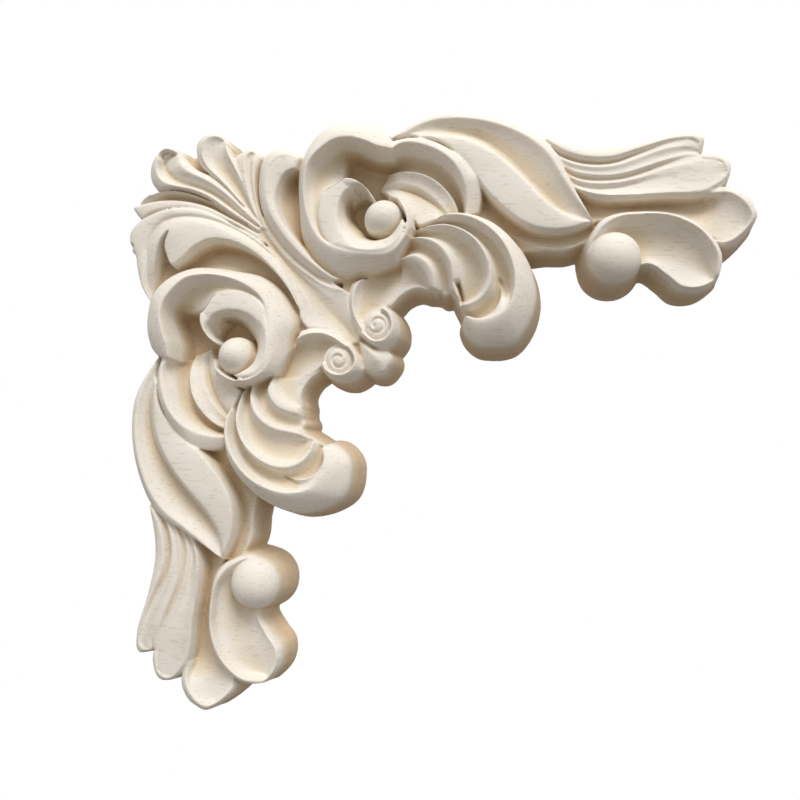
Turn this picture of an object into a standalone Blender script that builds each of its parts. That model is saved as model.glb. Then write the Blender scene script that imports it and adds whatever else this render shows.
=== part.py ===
"""Carved corner applique: one piece of wood, flat back, scrolls and leaves in relief.

Plan sizes are millimetres, u to the right and v down from the corner, as the piece
hangs on a wall. Heights are millimetres out from the flat back. Lines named with seen()
are placed by x and y in the front view, with their height over the back.
The two arms mirror each other across the diagonal; the crest at the corner doesn't.
"""
import math

import bmesh
import bpy
import numpy as np

# Driving sizes, millimetres
BOARD = 12.0              # thickness of the sawn board at its edges
CENTRE = 48.0             # u and v of the fixing centre, on the diagonal
WINDOW_U = -14.0          # plan window that holds the whole piece
WINDOW_V = -8.0
WINDOW_SPAN = 178.0
GRID_STEP = 0.5           # spacing of the height grid
SAMPLE_SHARE = 0.45       # sample spacing as a share of the grid step
TOOL_RADIUS = 0.35        # softening left by the gouge and the sanding
FLARE = 1.5               # the sides slope out by this much toward the back
FOOT = 2.0                # height of the upright strip at the foot of the sides
TRIANGLES = 8600          # carved side, before the back is closed
WELD = 0.02               # vertices closer than this are one
METRE = 0.001
BELOW_BACK = -1.0         # the sides run on to here before the back is cut flat
SHARP_ANGLE = 50.0        # degrees; edges sharper than this stay crisp
ARRIS = 0.35              # rounding of the rim where the carving meets the sawn side

# Front view that the carved lines are placed in: a square of 800 by 800, x across and y down
VIEW_PLACE = (54.12, -174.47, -44.60)    # eye, millimetres from the fixing centre
VIEW_TURN = (95.943, -3.475, 9.906)      # degrees
VIEW_REACH = 640.0                       # distance of the square, in its own units
VIEW_MIDDLE = 400.0


def line(points, heights=()):
    """A ridge, groove or edge: plan points with their heights, or heights spread along it."""
    places = np.array(points, float)
    if len(heights) == 0:
        return places
    legs = np.linalg.norm(np.diff(places, axis=0), axis=1)
    way = np.concatenate([[0.0], np.cumsum(legs)])
    given = np.linspace(0.0, way[-1], len(heights))
    return np.column_stack([places, np.interp(way, given, heights)])


def view_turn():
    """Rotation of the front view, from its turns about X, then Y, then Z."""
    turn = np.identity(3)
    for axis, angle in enumerate(np.radians(VIEW_TURN)):
        after, last = (axis + 1) % 3, (axis + 2) % 3
        step = np.identity(3)
        step[after, after] = step[last, last] = math.cos(angle)
        step[after, last], step[last, after] = -math.sin(angle), math.sin(angle)
        turn = step @ turn
    return turn


def seen(places):
    """Plan points of a line, from where the front view shows it and its height over the back."""
    across, down, height = np.array(places, float).T
    sight = np.column_stack([across - VIEW_MIDDLE, VIEW_MIDDLE - down, np.full(len(across), -VIEW_REACH)])
    sight = sight @ view_turn().T
    far = (-height - VIEW_PLACE[1]) / sight[:, 1]
    u = CENTRE + VIEW_PLACE[0] + far * sight[:, 0]
    v = CENTRE - VIEW_PLACE[2] - far * sight[:, 2]
    return np.column_stack([u, v, height])


def spiral(centre, start, end, first_turn, turns, height):
    """A line that winds inward from one radius to the other; turns are counted clockwise."""
    share = np.linspace(0.0, 1.0, int(12 * abs(turns)) + 2)
    angle = 2 * math.pi * (first_turn + turns * share)
    radius = start + (end - start) * share
    u = centre[0] + radius * np.cos(angle)
    v = centre[1] + radius * np.sin(angle)
    return np.column_stack([u, v, np.full(len(share), height)])


# Tail strands beyond the long leaf
TAIL_OUT = seen([(545, 138, 13), (600, 148.5, 12), (640, 143.5, 12), (690, 134.5, 12), (700, 135.5, 12),
                 (704, 138.5, 12), (702.5, 146, 12), (699, 153, 12)])
TAIL_FIRST = seen([(551, 145, 13.4), (562, 151.5, 13.6), (618, 157, 13.6), (634, 151.5, 13.6),
                   (680, 139.5, 13), (692, 139.5, 12.8), (699, 144, 12.6)])
TAIL_GROOVE = seen([(550, 149, 12.4), (561, 155.5, 12), (617, 161, 11.8), (633, 155, 12), (680, 142, 13),
                    (691, 142, 13), (698, 146, 12.8)])
TAIL_SECOND = seen([(551, 151, 13.4), (562, 158.5, 13.8), (618, 164.5, 14), (636, 158.5, 14),
                    (668, 148, 13.8), (692, 147, 13), (699, 150, 12.6)])
TAIL_THIRD = seen([(556, 160, 13.2), (566, 168, 13.6), (598, 175.5, 13.8), (679, 156, 13.4),
                   (690, 153.5, 13), (699, 154, 12.6)])
SECOND_GROOVE = seen([(560, 166, 12.4), (569, 173, 12.2), (618, 178, 12.2), (665, 164, 12.6),
                      (692, 156.5, 12.8), (702, 157, 12.6)])
SECOND_RIDGE = seen([(562, 170, 13.2), (571, 177, 13.4), (617, 182.5, 13.6), (633, 179, 13.6),
                     (680, 165, 13.4), (718, 160, 13)])
THIRD_GROOVE = seen([(565, 176, 12.6), (574, 182.5, 12.4), (618, 187, 12.4), (650, 180, 13),
                     (727, 166, 13)])
LOWER_RIDGE = seen([(569, 183, 13.2), (578, 189, 13.8), (591, 192.5, 14.2), (662, 192.5, 14.2),
                    (684, 191.5, 14), (704, 189, 13.6), (725, 175, 13)])
LOWER_EDGE = seen([(570, 185, 12.8), (579, 190.5, 13.2), (605, 197, 13.8), (620, 197.5, 13.8),
                   (662, 195.5, 13.6), (715, 189.5, 12.6), (722, 183.5, 12.4)])
SECOND_TIP = seen([(700, 154, 12.2), (710, 153.5, 12), (731, 165, 12), (730.5, 172, 12),
                   (713, 190.5, 12.4)])
SECOND_TIP_IN = seen([(702, 158, 13), (725, 163.5, 13.2), (727, 169, 13.2), (703, 190, 13.6)])
THIRD_EDGE = seen([(712, 190, 12.2), (727, 186.5, 12), (750, 198, 12), (754.5, 206, 12), (757.5, 214, 12),
                   (750, 227, 12), (723, 245.5, 11), (716, 243, 10.8)])
THIRD_RIM = seen([(706, 196, 12.2), (729, 193, 13.4), (751.5, 217, 13.4), (742, 231, 12.8),
                  (721, 241, 11.6), (714, 239, 11.2)])
THIRD_UPPER = seen([(572, 190, 8.8), (582, 196, 8.6), (600, 198.5, 8.4), (680, 197, 8.8), (705, 197, 9.8),
                    (730, 194.5, 12.8), (750, 214, 13.3), (747, 223, 13)])
THIRD_LOWER = seen([(586, 224, 10.4), (600, 220, 10.6), (615, 215, 10.8), (640, 212, 11), (665, 212.5, 11),
                    (703, 228, 11.2), (713, 237, 11.2), (730, 239.5, 11.8), (744, 227, 12.8)])

# Petal and ball at the foot of the tail
PETAL_EDGE = seen([(590, 268, 12), (586, 248, 12.2), (602, 220, 13.2), (641, 211.5, 13.6),
                   (699, 224.5, 13.2), (722, 255, 12), (719.5, 275, 12)])
PETAL_RIM = seen([(594, 267, 12.8), (590, 249, 13.6), (598, 231, 14.4), (615, 218.5, 15),
                  (641, 214.5, 15.2), (670, 216, 15.2), (706.5, 236, 14.2), (718, 256, 13.4),
                  (717.5, 276, 12)])
PETAL_IN = seen([(600, 266, 12), (597, 250, 12.4), (620, 222.5, 12.8), (643, 218, 12.8), (669, 219.5, 12.8),
                 (702.5, 239, 12.4), (713.5, 257, 12), (714, 265, 12), (715, 277.5, 12)])
PETAL_LOW = seen([(612, 268, 11), (641, 264.5, 11.4), (648, 263.5, 11.6), (668, 275, 11.6), (683, 286, 12),
                  (701, 286.5, 12), (719, 276, 12)])
BALL_CENTRE = (125.0, 37.3)
BALL_RADIUS = 6.5
BALL_SEAT = 11.6
BALL_TOP = 17.0

# Long leaf and the cove under its side
LEAF_EDGE = seen([(391, 138, 13.6), (441, 114.5, 14), (460, 113.5, 14), (525, 129, 13.6), (540, 137, 13.6),
                  (556, 152, 14), (567, 173, 14.2), (594, 220.5, 13.4)])
LEAF_RIM = seen([(402, 135, 14.8), (427, 122.5, 15.2), (463, 118.5, 15.6), (545, 151, 15.4),
                 (564.5, 181, 15.2), (586, 212.5, 14), (593, 220.5, 13.4)])
RIB_GROOVE = seen([(412, 134, 15), (441, 131.5, 14), (480, 139, 12.8), (503, 154, 12.6), (534, 184, 12.6),
                   (567, 213, 12.8), (592, 220.5, 13.4)])
LEAF_RIDGE = seen([(414, 135.5, 15.4), (428, 134.5, 15.8), (445, 136, 16.2), (462, 138.5, 16.4),
                   (502, 159, 16.6), (525, 180, 16.4), (547, 202.5, 15.6), (572, 217.5, 14.4),
                   (592.5, 221, 13.4)])
LEAF_SIDE = seen([(418, 137.5, 16), (434, 140, 16.2), (462, 158, 16.2), (487, 192, 16.2),
                  (540, 228.5, 15.2), (566, 229.5, 14.4), (594, 221, 13.2)])
COVE_FIRST = seen([(478, 186, 9.6), (528, 226, 9), (540, 231, 8.8), (566, 233, 8.8), (590, 225, 9)])
COVE_SIDE = seen([(473, 212, 11.6), (486, 219, 11.4), (515, 238.5, 10.6), (575, 246.5, 10.2),
                  (596, 234, 10.2)])

# Cup of strands behind the volute
CUP_EDGE = seen([(392, 141, 15.4), (415, 137.5, 16), (470, 167, 16.2), (477, 178, 16), (481, 188, 15),
                 (479, 214, 13)])
CUP_RIM = seen([(392, 150.5, 17.6), (396, 146, 17.6), (430, 146.5, 18.4), (455, 164.5, 18), (466, 206, 15),
                (464, 218, 14)])
CUP_STRAND = seen([(388, 175, 8), (405, 171, 13.4), (425, 174.5, 14.8), (457, 208, 13.6), (459, 217, 13.4)])
CUP_SECOND = seen([(383, 185, 7.4), (401, 183.5, 11.8), (411, 185.5, 12.6), (447, 212, 13), (452, 219, 13)])
CUP_GROOVE = seen([(380, 191, 7), (400, 190.5, 10), (412, 193, 10.6), (441, 212, 12), (446, 219, 12.4)])
CUP_FOOT = seen([(390, 197, 12), (408, 208, 13.8), (413, 217, 14), (418, 226, 14), (428, 224, 14),
                 (438, 221.5, 14)])

# Volute
VOLUTE_EDGE = seen([(392, 138, 14), (385, 130.5, 14.4), (375, 126, 14.8), (345, 124, 15),
                    (330, 127.5, 14.8), (318, 136.5, 14.4), (300, 172, 12.4), (299, 190, 12),
                    (300, 210, 12), (304, 243, 12), (322, 268, 12), (348, 281, 11.6), (362, 279, 11.2),
                    (378, 278, 11), (404, 266, 12.4), (411, 255, 13.4), (415, 230, 14.2), (408, 206, 14),
                    (401, 199, 13.6)])
VOLUTE_RIM = seen([(392, 150.5, 18), (375, 147, 19.2), (365, 142.5, 19.6), (335, 140, 20), (325, 146, 19.8),
                   (309, 163, 19.2), (306, 175, 18.6), (314, 226, 17), (321, 237, 17), (330, 244, 17.2),
                   (340, 247.5, 17.6), (364, 252, 18.2), (388, 251, 18.4), (397, 244, 18.4),
                   (405.5, 223, 17.8), (396, 199, 15)])
CHANNEL_FOOT = seen([(394, 174, 6), (369, 169, 6.2), (359, 164, 7), (352, 162.5, 8.8), (347, 169, 10.6),
                     (343.5, 178, 12.8), (335, 185, 14.6), (325, 191, 15.6), (320.5, 200, 16),
                     (323.5, 235, 16.2), (331, 244, 16.8)])
TURN_OUTER = seen([(343.5, 178, 16.6), (335, 184, 16.6), (325, 190, 16.6), (318, 212, 16.6),
                   (323, 235, 16.6), (331, 244.5, 17.2)])
TURN_INNER = seen([(352, 187, 16), (345.5, 190, 16.4), (341, 196.5, 16.6), (341, 232, 17.2),
                   (346, 239, 17.6)])
CHANNEL_END = 10   # points of the rim that the channel runs along
CRESCENT_OUT = VOLUTE_RIM[CHANNEL_END - 1:-1]
CRESCENT_IN = seen([(345.5, 238.5, 17.6), (350, 243.5, 18), (395, 240.5, 18.6), (402.5, 222, 18),
                    (397.5, 205, 16)])
PIT_OUTER = np.vstack([TURN_INNER[:-1], CRESCENT_IN])
PIT_INNER = seen([(364, 203, 8), (355, 210, 6), (354.5, 216, 6), (361, 231, 9.4), (376, 240, 13.6),
                  (391, 235, 15), (397.5, 222, 15.8), (397, 215, 16)])
LIP_OUTER = seen([(342, 178, 16.6), (347, 177, 16.8), (370, 190.5, 16), (374, 197.5, 15.2)])
LIP_INNER = seen([(346, 186, 16.2), (352, 185.5, 16.4), (358, 185.5, 16.2), (371, 199, 15)])
HOLE_UPPER = seen([(350, 163, 7), (358, 164, 6), (370, 168, 5.6), (410, 172, 6.4)])
HOLE_LOWER = seen([(348, 186, 7), (354, 191, 6), (362, 196, 5.8), (371, 203, 5.8), (382, 206, 6),
                   (396, 200, 6.6), (410, 190, 7)])
PIT_CENTRE = (61.5, 26.5)
PIT_RADIUS = 7.0
PIT_BOTTOM = 6.0
PEARL_CENTRE = (65.6, 27.6)
PEARL_RADIUS = 5.5
PEARL_SEAT = 12.0
PEARL_TOP = 18.6

# Hooked scroll with its strands
HOOK_EDGE = seen([(437, 219, 14), (450, 214.5, 15.2), (489, 221, 15.2), (527.5, 261, 13),
                  (535.5, 303, 12.2), (524.5, 331, 12), (516, 341, 12), (490, 347, 12), (478, 345, 12),
                  (463, 323, 12), (465, 317, 12.4)])
HOOK_BEAD = seen([(437, 219.5, 14.4), (450, 217.5, 16.6), (462, 217.5, 17.6), (502, 243, 18.4),
                  (513, 290, 17.6), (509, 303, 17.4), (477, 318, 15.2), (468, 315.5, 14)])
BULB_GROOVE = seen([(499, 278.5, 13.2), (508, 292, 14.8), (508.5, 300, 16.4), (487, 317.8, 16),
                    (477, 319.5, 15.4), (467, 316, 14)])
BULB_LIP = seen([(499, 278.5, 13.2), (498, 303, 16.8), (493, 310, 16.8), (477, 317.5, 15.4),
                 (467, 315, 14)])
HOOK_SECOND = seen([(416, 229, 14), (446, 223.5, 17), (467, 231, 18), (491.5, 277, 16.6), (489, 287, 16.2),
                    (469, 305.5, 14.4), (461, 306, 13.8)])
HOOK_SECOND_IN = seen([(415, 231, 13.6), (457, 230.5, 17.2), (474, 243.5, 17), (485.5, 281, 15.6),
                       (482, 290, 15), (461, 304.5, 13.4)])
HOOK_THIRD = seen([(411, 238, 14), (420, 236.5, 15.4), (439, 243, 16.6), (451, 259, 16.2), (456, 288, 14.2),
                   (458, 298, 13.4)])
HOOK_THIRD_IN = seen([(411, 241, 13.6), (420, 241, 14.8), (443, 256, 15.6), (451, 290, 13.4)])
HOOK_FOURTH = seen([(399, 260, 13.4), (414, 254.5, 15.4), (429, 264, 15.4), (436, 289, 13.2)])
HOOK_FOURTH_IN = seen([(400, 262, 13), (409, 262, 14), (423, 272, 14.2), (429, 288, 13)])
ARCH = seen([(389, 307, 11.4), (394, 302.5, 11.2), (399, 297, 11), (419, 287.5, 12), (428, 289.5, 12.6)])
SCALLOP = seen([(424, 288, 11), (432, 290.5, 11), (436, 289, 11), (446, 295, 11), (451, 293.5, 11),
                (459, 305, 11), (466, 320, 11)])
SCALLOP_IN = seen([(424, 278, 11.4), (440, 281, 11.4), (455, 286, 11.4), (473, 312, 11.4)])
CHIP = seen([(457, 281, 13.6), (460, 290, 13.2), (462, 299, 13)])
CHIP_WIDTH = 1.3
CHIP_DEPTH = 4.0

# Small scroll beside the drop
NECK_SIDE = seen([(352, 283, 12.6), (349, 292, 12.6), (358, 332, 12.2)])
NECK_RIM = seen([(364, 277, 14), (358, 283, 14.6), (352, 306, 15), (364, 333, 15), (376, 340, 15.2),
                 (383, 338, 15.2), (390.5, 326, 15.2), (386, 312, 15), (380, 308.5, 14.8)])
NECK_IN = seen([(366, 278, 12.6), (357.5, 292, 13), (358.5, 316, 13), (362, 323, 13)])
NECK_FLOOR = seen([(402, 268, 10.6), (400, 280, 10.6), (397, 292, 11), (390, 302, 11.6), (384, 307.5, 12.6),
                   (377, 310.5, 13.4), (369, 317, 13.6)])
SCROLL_EDGE = seen([(352, 320, 12.4), (357, 331, 12.2), (388, 349, 12), (398, 336, 12), (395.5, 316.5, 12),
                    (389.5, 309.5, 12), (385, 307, 12.6)])
SCROLL_RIM = seen([(354.5, 317, 15), (363, 332, 15), (376, 340, 15.2), (383, 338, 15.2), (390.5, 326, 15.2),
                   (386, 312, 15), (380, 308.5, 14.8)])
NECK_END = 4              # points of the rim that belong to the neck
EYE_CENTRE = (65.8, 56.0)
EYE_RADIUS = 3.5
EYE_SEAT = 13.0
EYE_TOP = 14.8
EYE_CUT_WIDTH = 0.8
EYE_CUT_DEPTH = 0.8

# Drop on the diagonal
DROP_AXIS = seen([(359, 341.5, 12.2), (378, 360.5, 13.8), (385, 371, 12)])
DROP_RIGHT = seen([(360, 341, 12.2), (368, 344.5, 12.4), (375, 349, 12.2), (388, 352, 11.8),
                   (391, 357, 11.8), (385, 371, 12)])
DROP_LEFT = seen([(359, 342, 12.2), (361, 356, 12), (364, 369, 11.8), (382, 373.5, 11.8), (385, 371, 12)])

# Crest leaves at the corner
CURL_OUT = seen([(181, 152, 12), (172, 147.5, 13), (152, 165, 12.6), (153, 184, 12.4), (160, 189.5, 13),
                 (172, 189, 13.4), (209, 199.5, 13.6), (221, 207.5, 13.6), (259, 231.5, 13.6)])
CURL_LIP = seen([(176, 153, 14), (170, 151, 14.6), (163, 153.5, 14.8), (157, 168, 14.6), (159.5, 176, 14.6),
                 (177, 185.5, 14.8), (190, 187.5, 14.8), (213, 197, 14.8), (225, 205.5, 14.6),
                 (259, 228.5, 13.8)])
CURL_IN = seen([(174, 157, 11.5), (169.5, 156, 11), (166, 158, 11), (166.5, 169, 12), (181, 180, 12.6),
                (192, 183, 12.8), (215, 193, 12.8), (248, 218.5, 13.2), (259, 226, 13.4)])
CURL_RIDGE = seen([(176.5, 155, 13.4), (181, 165, 14.6), (214, 184.5, 15), (259, 224, 14)])
CURL_SIDE = seen([(182, 151, 12), (185, 158, 12.4), (199, 170.5, 12.8), (209, 175, 12.8),
                  (248, 211.5, 13.2), (259, 222.5, 13.4)])
EAVE_TOP = seen([(135, 206, 12.4), (142, 198.5, 13), (209, 200, 14.6), (221, 208, 14.4), (259, 232, 13.8)])
EAVE_MID = seen([(134.5, 207, 12), (152, 202, 12.4), (207, 206.5, 13.2), (232, 219, 13.6),
                 (259, 234.5, 13.6)])
EAVE_LOW = seen([(134, 209.5, 11.6), (143, 218, 12), (150, 214, 12.6), (186, 208, 13.4), (225, 220.5, 13.6),
                 (262, 242, 13.6)])
CREST_OUT = seen([(152, 303, 11), (145, 293, 11.5), (137.5, 268, 12), (136, 257, 12), (131.5, 248, 12),
                  (131, 232, 12), (137, 224, 12.4), (152, 214, 13), (187, 208, 13.6), (238, 227.5, 13.6),
                  (262, 242.5, 13.6), (304, 290, 13.2)])
CREST_GROOVE = seen([(153, 297, 10), (148.5, 286, 11), (147, 258, 12.6), (147, 248, 12.8), (163, 222, 13.4),
                     (175, 217.5, 13.6), (188, 216.5, 13.8), (245, 235, 13.8), (300, 293, 13.4),
                     (305, 305, 13.2)])
CREST_INNER = seen([(158, 288, 9.6), (155.5, 262, 13.4), (162, 237, 15), (170, 228.5, 15.2),
                    (182, 223.5, 15.4), (210, 225, 15.8), (242, 238, 15.6), (256, 246, 15.4),
                    (289, 281.5, 14.6), (303, 308, 14)])
WIDE_STUB = seen([(164.5, 252, 14.4), (163.5, 245, 14.4), (165.5, 236.5, 14.8)])
WIDE_FIRST = np.vstack([WIDE_STUB, CREST_INNER[3:]])
WIDE_EDGE = seen([(166, 256, 14.4), (171, 265.5, 14.6), (180, 259.5, 15.4), (195, 246, 16),
                  (212, 239.5, 16), (224, 240.5, 16), (287, 289, 15), (303, 322, 13.8)])
SHADE_FIRST = seen([(158, 289, 8.6), (163, 276, 8), (168, 266, 7.6), (176, 260.5, 7.6), (187, 253.5, 7.4),
                    (195, 246, 7.2), (212, 239.5, 7.2), (224, 240.5, 7.4), (287, 289, 10.4),
                    (303, 322, 12)])
SHADE_SECOND = seen([(160, 300, 10), (165, 297, 10), (176, 286, 10.4), (229, 272, 11.6), (254, 284, 12),
                     (283, 317, 12), (288, 328, 12)])
PEAK_EDGE = seen([(228, 143, 12), (221, 135.5, 13), (205, 136, 13.4), (199, 141, 13), (201, 167, 12.6),
                  (209, 174, 12.8), (219, 181, 13), (239, 201.5, 13), (262, 228, 13.4)])
PEAK_RIDGE = seen([(223, 138.5, 14), (214, 137, 14.6), (207, 139.5, 15), (203, 156, 15), (208, 166, 14.8),
                   (216, 174, 14.8), (262, 227, 14)])
PEAK_SIDE = seen([(225, 140, 14.4), (227, 148.5, 15), (240, 178, 14.8), (256.5, 217, 14.2),
                  (262, 226.5, 14)])
SMALL_EDGE = seen([(262, 158, 12), (257.5, 152.5, 12.6), (240, 153.5, 12.8), (234, 158.5, 12.6),
                   (233, 164, 12.6), (237, 173, 13), (243, 184.5, 13), (252, 208.5, 13.2),
                   (261, 229, 13.4)])
SMALL_FIRST = seen([(250, 152.5, 13.4), (246.5, 156, 14), (246, 173, 14.4), (262, 229, 13.6)])
SMALL_GROOVE = seen([(251.5, 153.5, 12.8), (249.5, 158, 12.6), (249, 166, 12.6), (250.8, 185, 13),
                     (263, 229, 13.4)])
SMALL_SECOND = seen([(256, 154.5, 13.2), (253.5, 160, 14), (252.5, 170, 14.2), (264.5, 229, 13.6)])
SMALL_SIDE = seen([(262, 159, 12), (259.5, 166, 12.4), (258.5, 201, 12.8), (268, 230, 13.4)])
SPOON_EDGE = seen([(305, 158.5, 12), (290, 151, 13), (271, 152.5, 12.8), (265, 158, 12.8), (259, 180, 12.8),
                   (261, 208, 12.8), (282, 244, 13), (318, 276, 12.6), (331, 283, 12.4)])
SPOON_RIDGE = seen([(303, 161.5, 15), (279, 157.5, 16), (272, 162.5, 16), (266.5, 183, 16), (275, 219, 16),
                    (283, 231, 15.8), (316, 264.5, 14.8), (341, 280, 13.2)])
SPOON_INNER = seen([(301, 168, 15), (285, 173, 15.6), (276, 191, 15.4), (302, 246, 14.8),
                    (334, 272.5, 13.4), (345, 278.5, 12.8)])
SPOON_FLANK = seen([(303, 170, 8.6), (303, 215, 9), (307, 240, 10), (331, 269, 11.6), (344, 276, 12)])

# Bundle of stems on the diagonal, and the knot where the leaves meet it
KNOT_CENTRE = (31.0, 30.0)
KNOT_RADIUS = 4.0
KNOT_TOP = 13.4
KNOT_HOLE = (-8.6, 34.6)   # small dark hole in the left flank of the crest
KNOT_HOLE_RADIUS = 0.9
KNOT_HOLE_DEPTH = 3.0
BUNDLE_AXIS = line([(30.9, 31, 13.2), (36, 36, 12.8), (42, 42.4, 12.4), (48, 48.4, 11.8), (54, 54.2, 11.4),
                    (58, 58, 11.6), (60.6, 60.6, 12.2)])
BUNDLE_UPPER = seen([(262, 228, 13.4), (295, 266, 13.6), (335, 288, 13.4), (346, 291, 13.4),
                     (350, 312, 13.2), (361, 338, 12.2)])
BUNDLE_LOWER = line([(30.8, 32.2, 13.6), (34.6, 36, 13.6), (38.4, 40.4, 13.6), (41.4, 45.4, 13.6),
                     (43.4, 50.5, 13.6), (44.6, 55, 13.4), (47, 57.4, 13.4), (51, 57.8, 13.2),
                     (55.3, 59.3, 12.8), (58.6, 61.2, 12.2)])

# Board left low between and below the carving
ARM_BOARD_EDGE = line([(30, 20), (50, 8), (70, 5), (90, 5), (105, 8), (116, 15)], [10])
ARM_BOARD_SIDE = line([(46, 46), (60, 46), (74, 45), (88, 37), (104, 35), (118, 33)], [10])
CREST_BOARD_EDGE = line([(-6, 30), (0, 12), (14, 4), (28, 9), (38, 8), (50, 8)], [9])
CREST_BOARD_SIDE = line([(2, 50), (14, 44), (20, 40), (30, 40), (40, 40), (56, 56)], [9])
MIDDLE_BOARD_UPPER = line([(34, 34, 11), (52, 42, 11), (62, 45, 11), (67.4, 50.6, 11), (70.4, 54.4, 11),
                           (71, 57, 11), (70.2, 59.4, 11), (68.5, 61.8, 11), (68.5, 64.6, 11),
                           (67.9, 66.6, 11), (66.8, 67.8, 11)])
MIDDLE_BOARD_LOWER = MIDDLE_BOARD_UPPER[:, (1, 0, 2)]


def smooth(points, count):
    """Rounded line through a few points, in even steps."""
    gaps = np.linalg.norm(np.diff(points[:, :2], axis=0), axis=1)
    knots = np.concatenate([[0.0], np.cumsum(gaps)])
    slope = np.diff(points, axis=0) / gaps[:, None]
    tangent = np.empty_like(points)
    tangent[0], tangent[-1] = slope[0], slope[-1]
    if len(points) > 2:
        before, after = gaps[:-1, None], gaps[1:, None]
        tangent[1:-1] = (slope[:-1] * after + slope[1:] * before) / (before + after)
        tangent[0] = 1.5 * slope[0] - 0.5 * tangent[1]
        tangent[-1] = 1.5 * slope[-1] - 0.5 * tangent[-2]
    x = np.linspace(0.0, knots[-1], count)
    k = np.clip(np.searchsorted(knots, x, side="right") - 1, 0, len(gaps) - 1)
    d = gaps[k][:, None]
    w = (x[:, None] - knots[k][:, None]) / d
    start = (2 * w**3 - 3 * w**2 + 1) * points[k] + (w**3 - 2 * w**2 + w) * d * tangent[k]
    return start + (3 * w**2 - 2 * w**3) * points[k + 1] + (w**3 - w**2) * d * tangent[k + 1]


# Cross-sections: s runs along a band and t across it
def flat(s, t):
    return 0.0 * t


def hollow(depth, lean=1.0, power=2.0):
    """Gouge cut with a round bottom; lean below one moves the bottom to the first side."""
    return lambda s, t: -depth * (1.0 - np.abs(2.0 * t**lean - 1.0) ** power)


def bead(height, lean=1.0):
    """Rounded bead."""
    return lambda s, t: height * np.sqrt(np.clip(1.0 - (2.0 * t**lean - 1.0) ** 2, 0.0, 1.0))


def flutes(count, depth):
    """Gouge cuts side by side."""
    return lambda s, t: -depth * (1.0 - (2.0 * np.mod(count * t, 1.0) - 1.0) ** 2)


def along(shares, section):
    """A cross-section that grows and fades along its band by the given shares."""
    stations = np.linspace(0.0, 1.0, len(shares))
    return lambda s, t: section(s, t) * np.interp(s, stations, shares)


class Relief:
    """Height grid that the carved elements are laid into, later ones over earlier ones."""

    def __init__(self, step):
        self.step = step
        self.count = int(round(WINDOW_SPAN / step)) + 1
        self.top = np.zeros((self.count, self.count))
        self.cover = np.zeros((self.count, self.count))

    def lay(self, u, v, height, mirrored, cut=False):
        """Average a sampled patch into the grid cells and lay it over what is there."""
        if mirrored:
            u, v = v, u
        u_along, u_across = np.gradient(u)
        v_along, v_across = np.gradient(v)
        area = np.abs(u_along * v_across - u_across * v_along) / self.step**2
        x = (u - WINDOW_U) / self.step
        y = (v - WINDOW_V) / self.step
        left, top = int(x.min()) - 1, int(y.min()) - 1
        wide, tall = int(x.max()) - left + 3, int(y.max()) - top + 3
        x, y, height, area = (part.ravel() for part in (x - left, y - top, height, area))
        column, row = x.astype(int), y.astype(int)
        right_share, down_share = x - column, y - row
        weight, lifted = np.zeros(wide * tall), np.zeros(wide * tall)
        for i in (0, 1):
            for j in (0, 1):
                share = (right_share if i else 1 - right_share) * (down_share if j else 1 - down_share)
                cell = (row + j) * wide + column + i
                weight += np.bincount(cell, share * area, wide * tall)
                lifted += np.bincount(cell, share * area * height, wide * tall)
        level = (lifted / np.maximum(weight, 1e-9)).reshape(tall, wide)
        share = np.clip(1.7 * weight.reshape(tall, wide) - 0.35, 0.0, 1.0)
        where = (slice(top, top + tall), slice(left, left + wide))
        old, covered = self.top[where], self.cover[where]
        if cut:
            self.top[where] = old + share * np.minimum(level - old, 0.0)
            return
        kept = covered * (1.0 - share)
        mixed = (old * kept + level * share) / np.clip(kept + share, 1e-6, None)
        self.top[where] = np.where(share > 0.0, mixed, old)
        self.cover[where] = np.where(share > 0.0, np.minimum(covered + share, 1.0), covered)

    def band(self, first, second, section=flat, mirrored=False, cut=False):
        """Surface ruled between two lines with a cross-section on top."""
        reach = max(np.linalg.norm(np.diff(edge[:, :2], axis=0), axis=1).sum() for edge in (first, second))
        rows = int(reach * 1.15 / (SAMPLE_SHARE * self.step)) + 4
        a, b = smooth(first, rows), smooth(second, rows)
        width = np.linalg.norm(a[:, :2] - b[:, :2], axis=1).max()
        columns = int(width / (SAMPLE_SHARE * self.step)) + 6
        lap = 0.5 * self.step / max(width, self.step)
        t = np.linspace(-lap, 1.0 + lap, columns)[None, :]
        inside = np.clip(t, 0.0, 1.0)
        s = np.linspace(0.0, 1.0, rows)[:, None]
        u = a[:, :1] * (1 - t) + b[:, :1] * t
        v = a[:, 1:2] * (1 - t) + b[:, 1:2] * t
        level = a[:, 2:] * (1 - inside) + b[:, 2:] * inside
        self.lay(u, v, level + section(s, inside), mirrored, cut)

    def groove(self, way, width, depth, mirrored=False):
        """Narrow cut along a line, to a depth below the heights of the line."""
        path = smooth(way, 8 * len(way))
        heading = np.gradient(path[:, :2], axis=0)
        across = np.column_stack([-heading[:, 1], heading[:, 0]])
        across *= 0.5 * width / np.linalg.norm(across, axis=1)[:, None]
        left, right = path.copy(), path.copy()
        left[:, :2] += across
        right[:, :2] -= across
        self.band(left, right, hollow(depth), mirrored, cut=True)

    def boss(self, centre, radius, low, high, mirrored=False):
        """Round boss, or a pit where high is the lower of the two."""
        rings = int(radius / (SAMPLE_SHARE * self.step)) + 4
        spokes = int(2 * math.pi * radius / (SAMPLE_SHARE * self.step)) + 8
        r = ((np.arange(rings) + 0.5) / rings)[:, None]
        turn = (np.arange(spokes) * 2 * math.pi / spokes)[None, :]
        u = centre[0] + radius * r * np.cos(turn)
        v = centre[1] + radius * r * np.sin(turn)
        self.lay(u, v, low + (high - low) * np.sqrt(1.0 - r**2) + 0.0 * turn, mirrored)


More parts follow.
